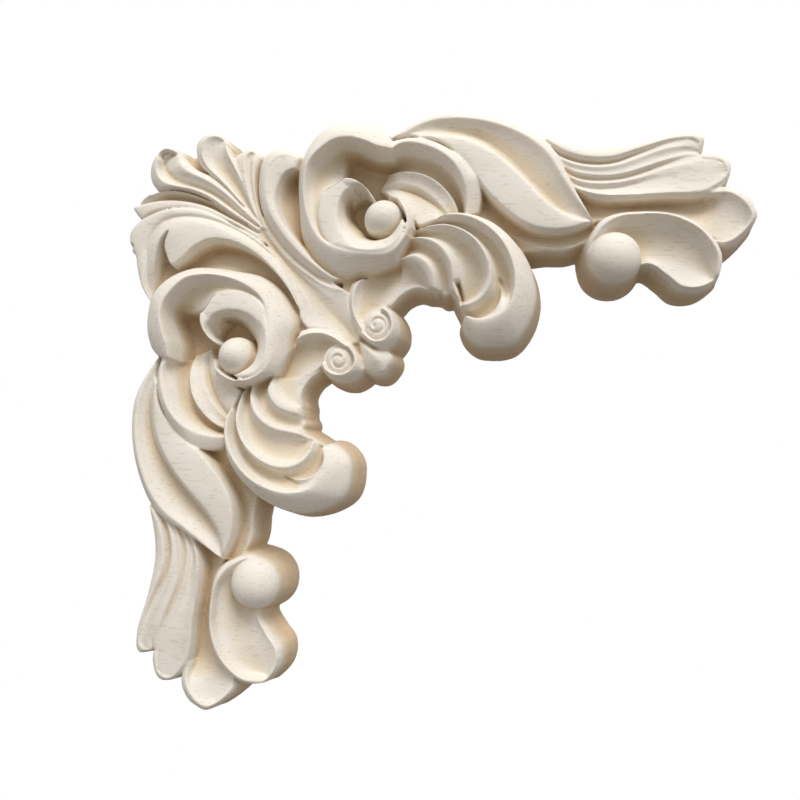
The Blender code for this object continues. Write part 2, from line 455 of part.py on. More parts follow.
def carve_tail(relief, mirrored):
    relief.band(THIRD_UPPER, THIRD_LOWER, hollow(1.2, 0.8), mirrored)
    relief.band(THIRD_EDGE, THIRD_RIM, bead(0.4), mirrored)
    relief.band(TAIL_OUT, TAIL_FIRST, bead(0.8), mirrored)
    relief.band(TAIL_FIRST, TAIL_GROOVE, flat, mirrored)
    relief.band(TAIL_GROOVE, TAIL_SECOND, flat, mirrored)
    relief.band(TAIL_SECOND, TAIL_THIRD, hollow(0.5), mirrored)
    relief.band(TAIL_THIRD, SECOND_GROOVE, flat, mirrored)
    relief.band(SECOND_GROOVE, SECOND_RIDGE, flat, mirrored)
    relief.band(SECOND_RIDGE, THIRD_GROOVE, flat, mirrored)
    relief.band(THIRD_GROOVE, LOWER_RIDGE, hollow(0.2), mirrored)
    relief.band(LOWER_RIDGE, LOWER_EDGE, bead(0.2), mirrored)
    relief.band(SECOND_TIP, SECOND_TIP_IN, bead(0.3), mirrored)


def carve_leaf(relief, mirrored):
    relief.band(COVE_FIRST, COVE_SIDE, hollow(0.5), mirrored)
    relief.band(LEAF_EDGE, LEAF_RIM, bead(0.4), mirrored)
    relief.band(LEAF_RIM, RIB_GROOVE, hollow(0.5), mirrored)
    relief.band(RIB_GROOVE, LEAF_RIDGE, flat, mirrored)
    relief.band(LEAF_RIDGE, LEAF_SIDE, bead(0.4), mirrored)


def carve_petal(relief, mirrored):
    relief.band(PETAL_IN, PETAL_LOW, hollow(2.0), mirrored)
    relief.band(PETAL_EDGE, PETAL_RIM, bead(0.4), mirrored)
    relief.band(PETAL_RIM, PETAL_IN, bead(0.2), mirrored)
    relief.boss(BALL_CENTRE, BALL_RADIUS, BALL_SEAT, BALL_TOP, mirrored)


def carve_cup(relief, mirrored):
    relief.band(HOLE_UPPER, HOLE_LOWER, hollow(0.8), mirrored)
    relief.band(CUP_EDGE, CUP_RIM, bead(0.4), mirrored)
    relief.band(CUP_RIM, CUP_STRAND, hollow(4.5, 1.5), mirrored)
    relief.band(CUP_STRAND, CUP_SECOND, hollow(0.5), mirrored)
    relief.band(CUP_SECOND, CUP_GROOVE, flat, mirrored)
    relief.band(CUP_GROOVE, CUP_FOOT, bead(0.8), mirrored)


def carve_volute(relief, mirrored):
    relief.band(VOLUTE_EDGE, VOLUTE_RIM, bead(1.4), mirrored)
    channel = along((1, 1, 0.8, 0.4, 0.2), hollow(4.0, 0.6))
    relief.band(VOLUTE_RIM[:CHANNEL_END], CHANNEL_FOOT, channel, mirrored)
    relief.boss(PIT_CENTRE, PIT_RADIUS, PIT_BOTTOM, PIT_BOTTOM, mirrored)
    relief.band(PIT_OUTER, PIT_INNER, hollow(-1.0), mirrored)
    relief.band(TURN_OUTER, TURN_INNER, bead(0.3), mirrored)
    relief.band(CRESCENT_OUT, CRESCENT_IN, bead(0.4), mirrored)
    relief.band(LIP_OUTER, LIP_INNER, bead(0.5), mirrored)
    relief.boss(PEARL_CENTRE, PEARL_RADIUS, PEARL_SEAT, PEARL_TOP, mirrored)


def carve_hook(relief, mirrored):
    relief.band(SCALLOP, SCALLOP_IN, flat, mirrored)
    relief.band(HOOK_FOURTH_IN, ARCH, hollow(1.6, 0.7), mirrored)
    relief.band(HOOK_THIRD_IN, HOOK_FOURTH, hollow(2.4, 0.7, 2.6), mirrored)
    relief.band(HOOK_SECOND_IN, HOOK_THIRD, hollow(2.8, 0.8, 2.6), mirrored)
    relief.band(HOOK_BEAD, HOOK_SECOND, hollow(3.8, 0.8, 2.4), mirrored)
    relief.band(BULB_GROOVE, BULB_LIP, along((1, 0.7, 0, 0), hollow(1.5)), mirrored)
    relief.band(HOOK_FOURTH, HOOK_FOURTH_IN, bead(0.4), mirrored)
    relief.band(HOOK_THIRD, HOOK_THIRD_IN, bead(0.4), mirrored)
    relief.band(HOOK_SECOND, HOOK_SECOND_IN, bead(0.4), mirrored)
    relief.band(HOOK_EDGE, HOOK_BEAD, bead(1.6), mirrored)


def carve_small_scroll(relief, mirrored):
    relief.band(NECK_IN, NECK_FLOOR, hollow(1.6, 0.7), mirrored)
    relief.boss(EYE_CENTRE, EYE_RADIUS + 1.2, EYE_SEAT, EYE_SEAT, mirrored)
    relief.band(SCROLL_EDGE, SCROLL_RIM, bead(1.0), mirrored)
    relief.band(NECK_SIDE, NECK_RIM[:NECK_END], flat, mirrored)
    relief.band(NECK_RIM[:NECK_END], NECK_IN, bead(0.2), mirrored)
    relief.boss(EYE_CENTRE, EYE_RADIUS, EYE_SEAT, EYE_TOP, mirrored)
    eye_cut = spiral(EYE_CENTRE, 2.6, 1.0, 0.45, -1.1, EYE_TOP - 0.3)
    relief.groove(eye_cut, EYE_CUT_WIDTH, EYE_CUT_DEPTH, mirrored)


def carve_crest(relief):
    relief.band(CREST_BOARD_EDGE, CREST_BOARD_SIDE)
    relief.boss(KNOT_CENTRE, KNOT_RADIUS, BOARD, KNOT_TOP)
    relief.band(SPOON_EDGE, BUNDLE_UPPER, hollow(0.6))
    relief.band(SHADE_FIRST, SHADE_SECOND, hollow(0.6))
    relief.band(CURL_IN, CURL_RIDGE, bead(0.3))
    relief.band(CURL_RIDGE, CURL_SIDE, bead(0.4))
    relief.band(CURL_OUT, CURL_LIP, bead(0.6))
    relief.band(CURL_LIP, CURL_IN, along((1.6, 1.2, 1, 1, 1), hollow(0.8)))
    relief.band(EAVE_TOP, EAVE_MID, along((0.4, 1, 1, 0.7, 0.3), hollow(3.2, 1.3)))
    relief.band(EAVE_MID, EAVE_LOW, bead(0.6))
    relief.band(CREST_OUT, CREST_GROOVE, bead(0.9))
    relief.band(CREST_GROOVE, CREST_INNER, bead(0.3))
    relief.band(WIDE_FIRST, WIDE_EDGE, bead(0.3))
    relief.band(SPOON_INNER, SPOON_FLANK, hollow(2.6, 0.8))
    relief.band(SPOON_EDGE, SPOON_RIDGE, bead(0.8))
    relief.band(SPOON_RIDGE, SPOON_INNER, bead(0.3))
    relief.band(SMALL_EDGE, SMALL_FIRST, bead(0.5))
    relief.band(SMALL_FIRST, SMALL_GROOVE)
    relief.band(SMALL_GROOVE, SMALL_SECOND)
    relief.band(SMALL_SECOND, SMALL_SIDE, bead(0.4))
    relief.band(PEAK_EDGE, PEAK_RIDGE, bead(0.5))
    relief.band(PEAK_RIDGE, PEAK_SIDE, along((0.5, 1, 1, 0.7, 0.3), hollow(2.4)))


def carve_bundle(relief):
    relief.band(BUNDLE_AXIS, BUNDLE_UPPER, along((1, 1, 0.4, 0, 0), flutes(2, 0.6)))
    relief.band(BUNDLE_AXIS, BUNDLE_LOWER, along((1, 1, 0.4, 0, 0), flutes(2, 0.6)))


def carve():
    relief = Relief(GRID_STEP)
    for mirrored in (False, True):
        relief.band(ARM_BOARD_EDGE, ARM_BOARD_SIDE, flat, mirrored)
        carve_tail(relief, mirrored)
        carve_leaf(relief, mirrored)
        carve_petal(relief, mirrored)
        carve_cup(relief, mirrored)
    relief.band(MIDDLE_BOARD_UPPER, MIDDLE_BOARD_LOWER)
    carve_crest(relief)
    carve_bundle(relief)
    for mirrored in (False, True):
        carve_volute(relief, mirrored)
        carve_hook(relief, mirrored)
    for mirrored in (False, True):
        carve_small_scroll(relief, mirrored)
    relief.groove(CHIP, CHIP_WIDTH, CHIP_DEPTH)
    relief.boss(KNOT_HOLE, KNOT_HOLE_RADIUS, BOARD, BOARD - KNOT_HOLE_DEPTH)
    relief.band(DROP_AXIS, DROP_RIGHT, bead(0.3))
    relief.band(DROP_AXIS, DROP_LEFT, bead(0.3))
    return flared(relief)


def blur(field, cells):
    """Round the edges off as a small gouge and sandpaper leave them."""
    reach = int(math.ceil(3 * cells))
    weights = np.exp(-0.5 * (np.arange(-reach, reach + 1) / cells) ** 2)
    weights /= weights.sum()
    for axis in (0, 1):
        margin = [(0, 0), (0, 0)]
        margin[axis] = (reach, reach)
        wide = np.pad(field, margin, mode="edge")
        size = field.shape[axis]
        field = sum(w * np.take(wide, np.arange(i, i + size), axis=axis) for i, w in enumerate(weights))
    return field


def flared(relief):
    """Sides that slope out a little toward the back, as a tapered cutter leaves them."""
    step, reach = relief.step, int(math.ceil(FLARE / relief.step)) + 1
    top = np.where(relief.cover > 0.5, relief.top, 0.0)
    cover = relief.cover.copy()
    edge_top, edge_cover = relief.top, relief.cover
    for i in range(-reach, reach + 1):
        for j in range(-reach, reach + 1):
            left = FLARE + (edge_cover - 0.5) * step - step * math.hypot(i, j)
            left = np.where(edge_cover > 0.3, left, -step)
            slope = FOOT + (edge_top - FOOT) * np.clip(left / FLARE, 0.0, 1.0)
            height = np.where(left > -0.5 * step, slope, 0.0)
            top = np.where(edge_cover > 0.5, top, np.maximum(top, np.roll(height, (i, j), (0, 1))))
            cover = np.maximum(cover, np.roll(np.clip(left / step + 0.5, 0.0, 1.0), (i, j), (0, 1)))
    relief.top, relief.cover = top, cover
    return relief


def softened(relief, radius):
    """Heights and outline after the gouge and the sandpaper."""
    cells = radius / relief.step
    cover = blur(relief.cover, cells)
    top = blur(relief.top * relief.cover, cells) / np.maximum(cover, 1e-6)
    return top - ARRIS * (1.0 - np.clip(2.0 * cover - 1.0, 0.0, 1.0)) ** 2, cover


def sheet(top, cover):
    """Points and faces of the carved side inside the outline, and the edges along the outline."""
    inside = cover >= 0.5
    node = np.full(inside.shape, -1)
    node[inside] = np.arange(inside.sum())
    y, x = np.nonzero(inside)
    columns, rows, heights = [x.astype(float)], [y.astype(float)], [top[inside]]
    count = len(x)
    crossing = []
    for down, right in ((0, 1), (1, 0)):
        here = (slice(0, inside.shape[0] - down), slice(0, inside.shape[1] - right))
        there = (slice(down, None), slice(right, None))
        y, x = np.nonzero(inside[here] != inside[there])
        share = (0.5 - cover[here][y, x]) / (cover[there][y, x] - cover[here][y, x])
        columns.append(x + right * share)
        rows.append(y + down * share)
        heights.append(top[here][y, x] * (1 - share) + top[there][y, x] * share)
        index = np.full(inside.shape, -1)
        index[y, x] = count + np.arange(len(x))
        count += len(x)
        crossing.append(index)
    along, downward = crossing
    ring = [node[:-1, :-1], node[:-1, 1:], node[1:, 1:], node[1:, :-1]]
    cuts = [along[:-1, :-1], downward[:-1, 1:], along[1:, :-1], downward[:-1, :-1]]
    held = sum((corner >= 0).astype(int) for corner in ring)
    whole = held == 4
    faces = np.stack([corner[whole] for corner in ring], -1).tolist()
    partly = (held > 0) & ~whole
    corners = np.stack([corner[partly] for corner in ring], -1).tolist()
    crossings = np.stack([index[partly] for index in cuts], -1).tolist()
    rim = []
    for four, cut in zip(corners, crossings):
        face = []
        for k in range(4):
            if four[k] >= 0:
                face.append((four[k], False))
            if cut[k] >= 0:
                face.append((cut[k], True))
        faces.append([point for point, on_rim in face])
        for k, (point, on_rim) in enumerate(face):
            after, after_on_rim = face[(k + 1) % len(face)]
            if on_rim and after_on_rim:
                rim.append((point, after))
    points = np.stack([np.concatenate(part) for part in (columns, rows, heights)], -1)
    return points, faces, rim


def walled(points, faces, rim, lowest):
    """The carved side with sawn walls from its outline down to the given height."""
    edge = sorted({point for pair in rim for point in pair})
    below = {point: len(points) + k for k, point in enumerate(edge)}
    foot = points[edge].copy()
    foot[:, 2] = lowest
    walls = [[b, a, below[a], below[b]] for a, b in rim]
    return np.concatenate([points, foot]), faces + walls


def solid(points, faces):
    """Closed body: the walled mesh thinned where it is flat, then cut at the wall plane and backed."""
    mesh = bpy.data.meshes.new("carved_side")
    places = np.stack([WINDOW_U + points[:, 0] * GRID_STEP - CENTRE, -points[:, 2],
                       CENTRE - WINDOW_V - points[:, 1] * GRID_STEP], -1) * METRE
    mesh.from_pydata(places.tolist(), [], faces)
    mesh.calc_loop_triangles()
    rough = bpy.data.objects.new("rough", mesh)
    bpy.context.scene.collection.objects.link(rough)
    fewer = rough.modifiers.new("fewer", "DECIMATE")
    fewer.ratio = min(1.0, TRIANGLES / len(mesh.loop_triangles))
    graph = bpy.context.evaluated_depsgraph_get()
    thin = bpy.data.meshes.new_from_object(rough.evaluated_get(graph))
    bpy.data.objects.remove(rough)
    body = bmesh.new()
    body.from_mesh(thin)
    whole = body.verts[:] + body.edges[:] + body.faces[:]
    bmesh.ops.bisect_plane(body, geom=whole, plane_co=(0, 0, 0), plane_no=(0, 1, 0), clear_outer=True)
    rim = [edge for edge in body.edges if len(edge.link_faces) == 1]
    bmesh.ops.remove_doubles(body, verts=list({v for e in rim for v in e.verts}), dist=WELD * METRE)
    rim = [edge for edge in body.edges if len(edge.link_faces) == 1]
    bmesh.ops.triangle_fill(body, edges=rim, use_beauty=True, use_dissolve=False, normal=(0, 1, 0))
    bmesh.ops.triangulate(body, faces=body.faces[:])
    bmesh.ops.recalc_face_normals(body, faces=body.faces[:])
    body.to_mesh(thin)
    body.free()
    return thin


def wood():
    material = bpy.data.materials.new("pale_wood")
    material.use_nodes = True
    shader = material.node_tree.nodes["Principled BSDF"]
    shader.inputs["Base Color"].default_value = (0.78, 0.68, 0.53, 1.0)
    shader.inputs["Roughness"].default_value = 0.62
    shader.inputs["Metallic"].default_value = 0.0
    return material


def main():
    for item in list(bpy.data.objects):
        bpy.data.objects.remove(item)
    top, cover = softened(carve(), TOOL_RADIUS)
    mesh = solid(*walled(*sheet(top, cover), lowest=BELOW_BACK))
    mesh.name = "corner_applique"
    mesh.materials.clear()
    mesh.materials.append(wood())
    mesh.shade_smooth()
    mesh.set_sharp_from_angle(angle=math.radians(SHARP_ANGLE))
    piece = bpy.data.objects.new("corner_applique", mesh)
    bpy.context.scene.collection.objects.link(piece)


main()
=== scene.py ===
"""Looks of the carved corner applique: the carving at full fineness, its pale raw wood, the studio."""
import math

import bmesh
import bpy
import numpy as np
from mathutils import Euler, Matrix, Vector


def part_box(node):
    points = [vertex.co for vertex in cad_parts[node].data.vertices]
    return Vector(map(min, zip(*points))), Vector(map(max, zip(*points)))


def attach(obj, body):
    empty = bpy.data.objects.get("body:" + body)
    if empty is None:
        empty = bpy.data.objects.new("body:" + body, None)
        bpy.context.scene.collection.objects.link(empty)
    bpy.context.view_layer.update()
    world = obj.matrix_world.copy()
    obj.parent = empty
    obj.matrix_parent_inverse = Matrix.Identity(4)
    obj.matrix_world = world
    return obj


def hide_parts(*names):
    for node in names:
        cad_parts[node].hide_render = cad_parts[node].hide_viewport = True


# Driving sizes, millimetres
BOARD = 12.0              # thickness of the sawn board at its edges
CENTRE = 48.0             # u and v of the fixing centre, on the diagonal
WINDOW_U = -14.0          # plan window that holds the whole piece
WINDOW_V = -8.0
WINDOW_SPAN = 178.0
GRID_STEP = 0.2           # spacing of the height grid
TOOL_RADIUS = 0.2         # softening left by the gouge and the sanding
ARRIS = 0.35              # rounding of the rim where the carving meets the sawn side
FLARE = 1.5               # the sides slope out by this much toward the back
FOOT = 2.0                # height of the upright strip at the foot of the sides
BELOW_BACK = -1.0         # the sides run on to here before the back is cut flat
WELD = 0.02               # vertices closer than this are one
SHADE_REACH = 3.0        # how far round a place its surroundings are read for the painted shade
FULL_SHADE_DEPTH = 3.2        # depth at which a hollow has its full painted shade
BACK_SKIN = 0.02          # closer to the back than this, the wood has no painted shade, only the colour of a ridge
METRE = 0.001

# Fineness of the sampling and of the mesh
SAMPLE_SHARE = 0.45       # sample spacing as a share of the grid step
CURVE_SLACK = 1.15        # a rounded line is at most this much longer than its straight pieces
COVER_GAIN = 1.7          # a cell is fully covered once its weight reaches 1.35 / 1.7
COVER_LOSS = 0.35         # a weight below 0.35 / 1.7 doesn't count
FAINT = 0.3               # cells that are covered less than this have no side
TINY = 1e-6
TRIANGLES = 180000        # carved side, before the back is closed
SHARP_ANGLE = 50.0        # degrees; edges sharper than this stay crisp

# Front view that the carved lines are placed in: a square of 800 by 800, x across and y down
VIEW_PLACE = (54.12, -174.47, -44.60)    # eye, millimetres from the fixing centre
VIEW_TURN = (95.943, -3.475, 9.906)      # degrees
VIEW_REACH = 640.0                       # distance of the square, in its own units
VIEW_MIDDLE = 400.0

# Wood colours, each with how far down a hollow it lies, from 0 to 1: plain wood on the ridges, then darker
# and warmer painted shade down the slopes and in the hollows
RIDGE = (0.0, (0.82, 0.775, 0.70))
SLOPE_SHADE = (0.25, (0.74, 0.65, 0.51))
HOLLOW_SHADE = (1.0, (0.60, 0.455, 0.30))
WHITE = (1.0, 1.0, 1.0)

# Figure of the wood: waves in a metre along X, Y and Z, and the shades that they end in
GROWTH_SCALE = (45.0, 160.0, 160.0)
GROWTH_DARK = (0.3, (0.93, 0.92, 0.90))
GROWTH_LIGHT = (0.7, WHITE)
PORE_SCALE = (300.0, 1700.0, 1700.0)
PORE_DARK = (0.32, (0.90, 0.87, 0.83))
PORE_LIGHT = (0.40, WHITE)
FUZZ_SCALE = (1500.0, 2600.0, 2600.0)
FUZZ_SHARE = 0.5                         # height of the raised fibres beside the pores
GRAIN_STRENGTH = 0.35
GRAIN_DEPTH = 0.12                       # millimetres
ROUGHNESS = 0.68
GLOSS = 0.3

# Studio, millimetres and watts
SENSOR = 36.0
LENS = SENSOR * VIEW_REACH / (2 * VIEW_MIDDLE)
NEAREST = 10.0                           # the view shows nothing closer than this
FLOOR_DROP = 2000.0                      # the piece hangs this far above the floor
FLOOR_SIZE = (1200.0, 800.0)
FLOOR_COLOUR = (0.9, 0.9, 0.9)
FLOOR_ROUGHNESS = 0.9
KEY_PLACE = (330.0, -860.0, 1100.0)
KEY_AIM = (20.0, 0.0, -20.0)
KEY_SIZE = 620.0
KEY_POWER = 13.6
KEY_COLOUR = (1.0, 0.985, 0.96)
ROOM_BELOW = (0.11, 0.085, 0.06)         # warm light off the floor of the room
ROOM_ABOVE = (1.0, 1.0, 1.0)             # light from its ceiling


def line(points, heights=()):
    """A ridge, groove or edge: plan points with their heights, or heights spread along it."""
    places = np.array(points, float)
    if len(heights) == 0:
        return places
    legs = np.linalg.norm(np.diff(places, axis=0), axis=1)
    way = np.concatenate([[0.0], np.cumsum(legs)])
    given = np.linspace(0.0, way[-1], len(heights))
    return np.column_stack([places, np.interp(way, given, heights)])


def view_turn():
    """Rotation of the front view, from its turns about X, then Y, then Z."""
    turn = np.identity(3)
    for axis, angle in enumerate(np.radians(VIEW_TURN)):
        after, last = (axis + 1) % 3, (axis + 2) % 3
        step = np.identity(3)
        step[after, after] = step[last, last] = math.cos(angle)
        step[after, last], step[last, after] = -math.sin(angle), math.sin(angle)
        turn = step @ turn
    return turn


def seen(places):
    """Plan points of a line, from where the front view shows it and its height over the back."""
    across, down, height = np.array(places, float).T
    sight = np.column_stack([across - VIEW_MIDDLE, VIEW_MIDDLE - down, np.full(len(across), -VIEW_REACH)])
    sight = sight @ view_turn().T
    far = (-height - VIEW_PLACE[1]) / sight[:, 1]
    u = CENTRE + VIEW_PLACE[0] + far * sight[:, 0]
    v = CENTRE - VIEW_PLACE[2] - far * sight[:, 2]
    return np.column_stack([u, v, height])


def spiral(centre, start, end, first_turn, turns, height):
    """A line that winds inward from one radius to the other; turns are counted clockwise."""
    share = np.linspace(0.0, 1.0, int(12 * abs(turns)) + 2)
    angle = 2 * math.pi * (first_turn + turns * share)
    radius = start + (end - start) * share
    u = centre[0] + radius * np.cos(angle)
    v = centre[1] + radius * np.sin(angle)
    return np.column_stack([u, v, np.full(len(share), height)])


# Tail strands beyond the long leaf
TAIL_OUT = seen([(545, 138, 13), (600, 148.5, 12), (640, 143.5, 12), (690, 134.5, 12), (700, 135.5, 12),
                 (704, 138.5, 12), (702.5, 146, 12), (699, 153, 12)])
TAIL_FIRST = seen([(551, 145, 13.4), (562, 151.5, 13.6), (618, 157, 13.6), (634, 151.5, 13.6),
                   (680, 139.5, 13), (692, 139.5, 12.8), (699, 144, 12.6)])
TAIL_GROOVE = seen([(550, 149, 12.4), (561, 155.5, 12), (617, 161, 11.8), (633, 155, 12), (680, 142, 13),
                    (691, 142, 13), (698, 146, 12.8)])
TAIL_SECOND = seen([(551, 151, 13.4), (562, 158.5, 13.8), (618, 164.5, 14), (636, 158.5, 14),
                    (668, 148, 13.8), (692, 147, 13), (699, 150, 12.6)])
TAIL_THIRD = seen([(556, 160, 13.2), (566, 168, 13.6), (598, 175.5, 13.8), (679, 156, 13.4),
                   (690, 153.5, 13), (699, 154, 12.6)])
SECOND_GROOVE = seen([(560, 166, 12.4), (569, 173, 12.2), (618, 178, 12.2), (665, 164, 12.6),
                      (692, 156.5, 12.8), (702, 157, 12.6)])
SECOND_RIDGE = seen([(562, 170, 13.2), (571, 177, 13.4), (617, 182.5, 13.6), (633, 179, 13.6),
                     (680, 165, 13.4), (718, 160, 13)])
THIRD_GROOVE = seen([(565, 176, 12.6), (574, 182.5, 12.4), (618, 187, 12.4), (650, 180, 13),
                     (727, 166, 13)])
LOWER_RIDGE = seen([(569, 183, 13.2), (578, 189, 13.8), (591, 192.5, 14.2), (662, 192.5, 14.2),
                    (684, 191.5, 14), (704, 189, 13.6), (725, 175, 13)])
LOWER_EDGE = seen([(570, 185, 12.8), (579, 190.5, 13.2), (605, 197, 13.8), (620, 197.5, 13.8),
                   (662, 195.5, 13.6), (715, 189.5, 12.6), (722, 183.5, 12.4)])
SECOND_TIP = seen([(700, 154, 12.2), (710, 153.5, 12), (731, 165, 12), (730.5, 172, 12),
                   (713, 190.5, 12.4)])
SECOND_TIP_IN = seen([(702, 158, 13), (725, 163.5, 13.2), (727, 169, 13.2), (703, 190, 13.6)])
THIRD_EDGE = seen([(712, 190, 12.2), (727, 186.5, 12), (750, 198, 12), (754.5, 206, 12), (757.5, 214, 12),
                   (750, 227, 12), (723, 245.5, 11), (716, 243, 10.8)])
THIRD_RIM = seen([(706, 196, 12.2), (729, 193, 13.4), (751.5, 217, 13.4), (742, 231, 12.8),
                  (721, 241, 11.6), (714, 239, 11.2)])
THIRD_UPPER = seen([(572, 190, 8.8), (582, 196, 8.6), (600, 198.5, 8.4), (680, 197, 8.8), (705, 197, 9.8),
                    (730, 194.5, 12.8), (750, 214, 13.3), (747, 223, 13)])
THIRD_LOWER = seen([(586, 224, 10.4), (600, 220, 10.6), (615, 215, 10.8), (640, 212, 11), (665, 212.5, 11),
                    (703, 228, 11.2), (713, 237, 11.2), (730, 239.5, 11.8), (744, 227, 12.8)])

# Petal and ball at the foot of the tail
PETAL_EDGE = seen([(590, 268, 12), (586, 248, 12.2), (602, 220, 13.2), (641, 211.5, 13.6),
                   (699, 224.5, 13.2), (722, 255, 12), (719.5, 275, 12)])
PETAL_RIM = seen([(594, 267, 12.8), (590, 249, 13.6), (598, 231, 14.4), (615, 218.5, 15),
                  (641, 214.5, 15.2), (670, 216, 15.2), (706.5, 236, 14.2), (718, 256, 13.4),
                  (717.5, 276, 12)])
PETAL_IN = seen([(600, 266, 12), (597, 250, 12.4), (620, 222.5, 12.8), (643, 218, 12.8), (669, 219.5, 12.8),
                 (702.5, 239, 12.4), (713.5, 257, 12), (714, 265, 12), (715, 277.5, 12)])
PETAL_LOW = seen([(612, 268, 11), (641, 264.5, 11.4), (648, 263.5, 11.6), (668, 275, 11.6), (683, 286, 12),
                  (701, 286.5, 12), (719, 276, 12)])
BALL_CENTRE = (125.0, 37.3)
BALL_RADIUS = 6.5
BALL_SEAT = 11.6
BALL_TOP = 17.0

# Long leaf and the cove under its side
LEAF_EDGE = seen([(391, 138, 13.6), (441, 114.5, 14), (460, 113.5, 14), (525, 129, 13.6), (540, 137, 13.6),
                  (556, 152, 14), (567, 173, 14.2), (594, 220.5, 13.4)])
LEAF_RIM = seen([(402, 135, 14.8), (427, 122.5, 15.2), (463, 118.5, 15.6), (545, 151, 15.4),
                 (564.5, 181, 15.2), (586, 212.5, 14), (593, 220.5, 13.4)])
RIB_GROOVE = seen([(412, 134, 15), (441, 131.5, 14), (480, 139, 12.8), (503, 154, 12.6), (534, 184, 12.6),
                   (567, 213, 12.8), (592, 220.5, 13.4)])
LEAF_RIDGE = seen([(414, 135.5, 15.4), (428, 134.5, 15.8), (445, 136, 16.2), (462, 138.5, 16.4),
                   (502, 159, 16.6), (525, 180, 16.4), (547, 202.5, 15.6), (572, 217.5, 14.4),
                   (592.5, 221, 13.4)])
LEAF_SIDE = seen([(418, 137.5, 16), (434, 140, 16.2), (462, 158, 16.2), (487, 192, 16.2),
                  (540, 228.5, 15.2), (566, 229.5, 14.4), (594, 221, 13.2)])
COVE_FIRST = seen([(478, 186, 9.6), (528, 226, 9), (540, 231, 8.8), (566, 233, 8.8), (590, 225, 9)])
COVE_SIDE = seen([(473, 212, 11.6), (486, 219, 11.4), (515, 238.5, 10.6), (575, 246.5, 10.2),
                  (596, 234, 10.2)])

# Cup of strands behind the volute
CUP_EDGE = seen([(392, 141, 15.4), (415, 137.5, 16), (470, 167, 16.2), (477, 178, 16), (481, 188, 15),
                 (479, 214, 13)])
CUP_RIM = seen([(392, 150.5, 17.6), (396, 146, 17.6), (430, 146.5, 18.4), (455, 164.5, 18), (466, 206, 15),
                (464, 218, 14)])
CUP_STRAND = seen([(388, 175, 8), (405, 171, 13.4), (425, 174.5, 14.8), (457, 208, 13.6), (459, 217, 13.4)])
CUP_SECOND = seen([(383, 185, 7.4), (401, 183.5, 11.8), (411, 185.5, 12.6), (447, 212, 13), (452, 219, 13)])
CUP_GROOVE = seen([(380, 191, 7), (400, 190.5, 10), (412, 193, 10.6), (441, 212, 12), (446, 219, 12.4)])
CUP_FOOT = seen([(390, 197, 12), (408, 208, 13.8), (413, 217, 14), (418, 226, 14), (428, 224, 14),
                 (438, 221.5, 14)])

# Volute
VOLUTE_EDGE = seen([(392, 138, 14), (385, 130.5, 14.4), (375, 126, 14.8), (345, 124, 15),
                    (330, 127.5, 14.8), (318, 136.5, 14.4), (300, 172, 12.4), (299, 190, 12),
                    (300, 210, 12), (304, 243, 12), (322, 268, 12), (348, 281, 11.6), (362, 279, 11.2),
                    (378, 278, 11), (404, 266, 12.4), (411, 255, 13.4), (415, 230, 14.2), (408, 206, 14),
                    (401, 199, 13.6)])
VOLUTE_RIM = seen([(392, 150.5, 18), (375, 147, 19.2), (365, 142.5, 19.6), (335, 140, 20), (325, 146, 19.8),
                   (309, 163, 19.2), (306, 175, 18.6), (314, 226, 17), (321, 237, 17), (330, 244, 17.2),
                   (340, 247.5, 17.6), (364, 252, 18.2), (388, 251, 18.4), (397, 244, 18.4),
                   (405.5, 223, 17.8), (396, 199, 15)])
CHANNEL_FOOT = seen([(394, 174, 6), (369, 169, 6.2), (359, 164, 7), (352, 162.5, 8.8), (347, 169, 10.6),
                     (343.5, 178, 12.8), (335, 185, 14.6), (325, 191, 15.6), (320.5, 200, 16),
                     (323.5, 235, 16.2), (331, 244, 16.8)])
TURN_OUTER = seen([(343.5, 178, 16.6), (335, 184, 16.6), (325, 190, 16.6), (318, 212, 16.6),
                   (323, 235, 16.6), (331, 244.5, 17.2)])
TURN_INNER = seen([(352, 187, 16), (345.5, 190, 16.4), (341, 196.5, 16.6), (341, 232, 17.2),
                   (346, 239, 17.6)])
CHANNEL_END = 10          # points of the rim that the channel runs along
CRESCENT_OUT = VOLUTE_RIM[CHANNEL_END - 1:-1]
CRESCENT_IN = seen([(345.5, 238.5, 17.6), (350, 243.5, 18), (395, 240.5, 18.6), (402.5, 222, 18),
                    (397.5, 205, 16)])
PIT_OUTER = np.vstack([TURN_INNER[:-1], CRESCENT_IN])
PIT_INNER = seen([(364, 203, 8), (355, 210, 6), (354.5, 216, 6), (361, 231, 9.4), (376, 240, 13.6),
                  (391, 235, 15), (397.5, 222, 15.8), (397, 215, 16)])
LIP_OUTER = seen([(342, 178, 16.6), (347, 177, 16.8), (370, 190.5, 16), (374, 197.5, 15.2)])
LIP_INNER = seen([(346, 186, 16.2), (352, 185.5, 16.4), (358, 185.5, 16.2), (371, 199, 15)])
HOLE_UPPER = seen([(350, 163, 7), (358, 164, 6), (370, 168, 5.6), (410, 172, 6.4)])
HOLE_LOWER = seen([(348, 186, 7), (354, 191, 6), (362, 196, 5.8), (371, 203, 5.8), (382, 206, 6),
                   (396, 200, 6.6), (410, 190, 7)])
PIT_CENTRE = (61.5, 26.5)
PIT_RADIUS = 7.0
PIT_BOTTOM = 6.0
PEARL_CENTRE = (65.6, 27.6)
PEARL_RADIUS = 5.5
PEARL_SEAT = 12.0
PEARL_TOP = 18.6

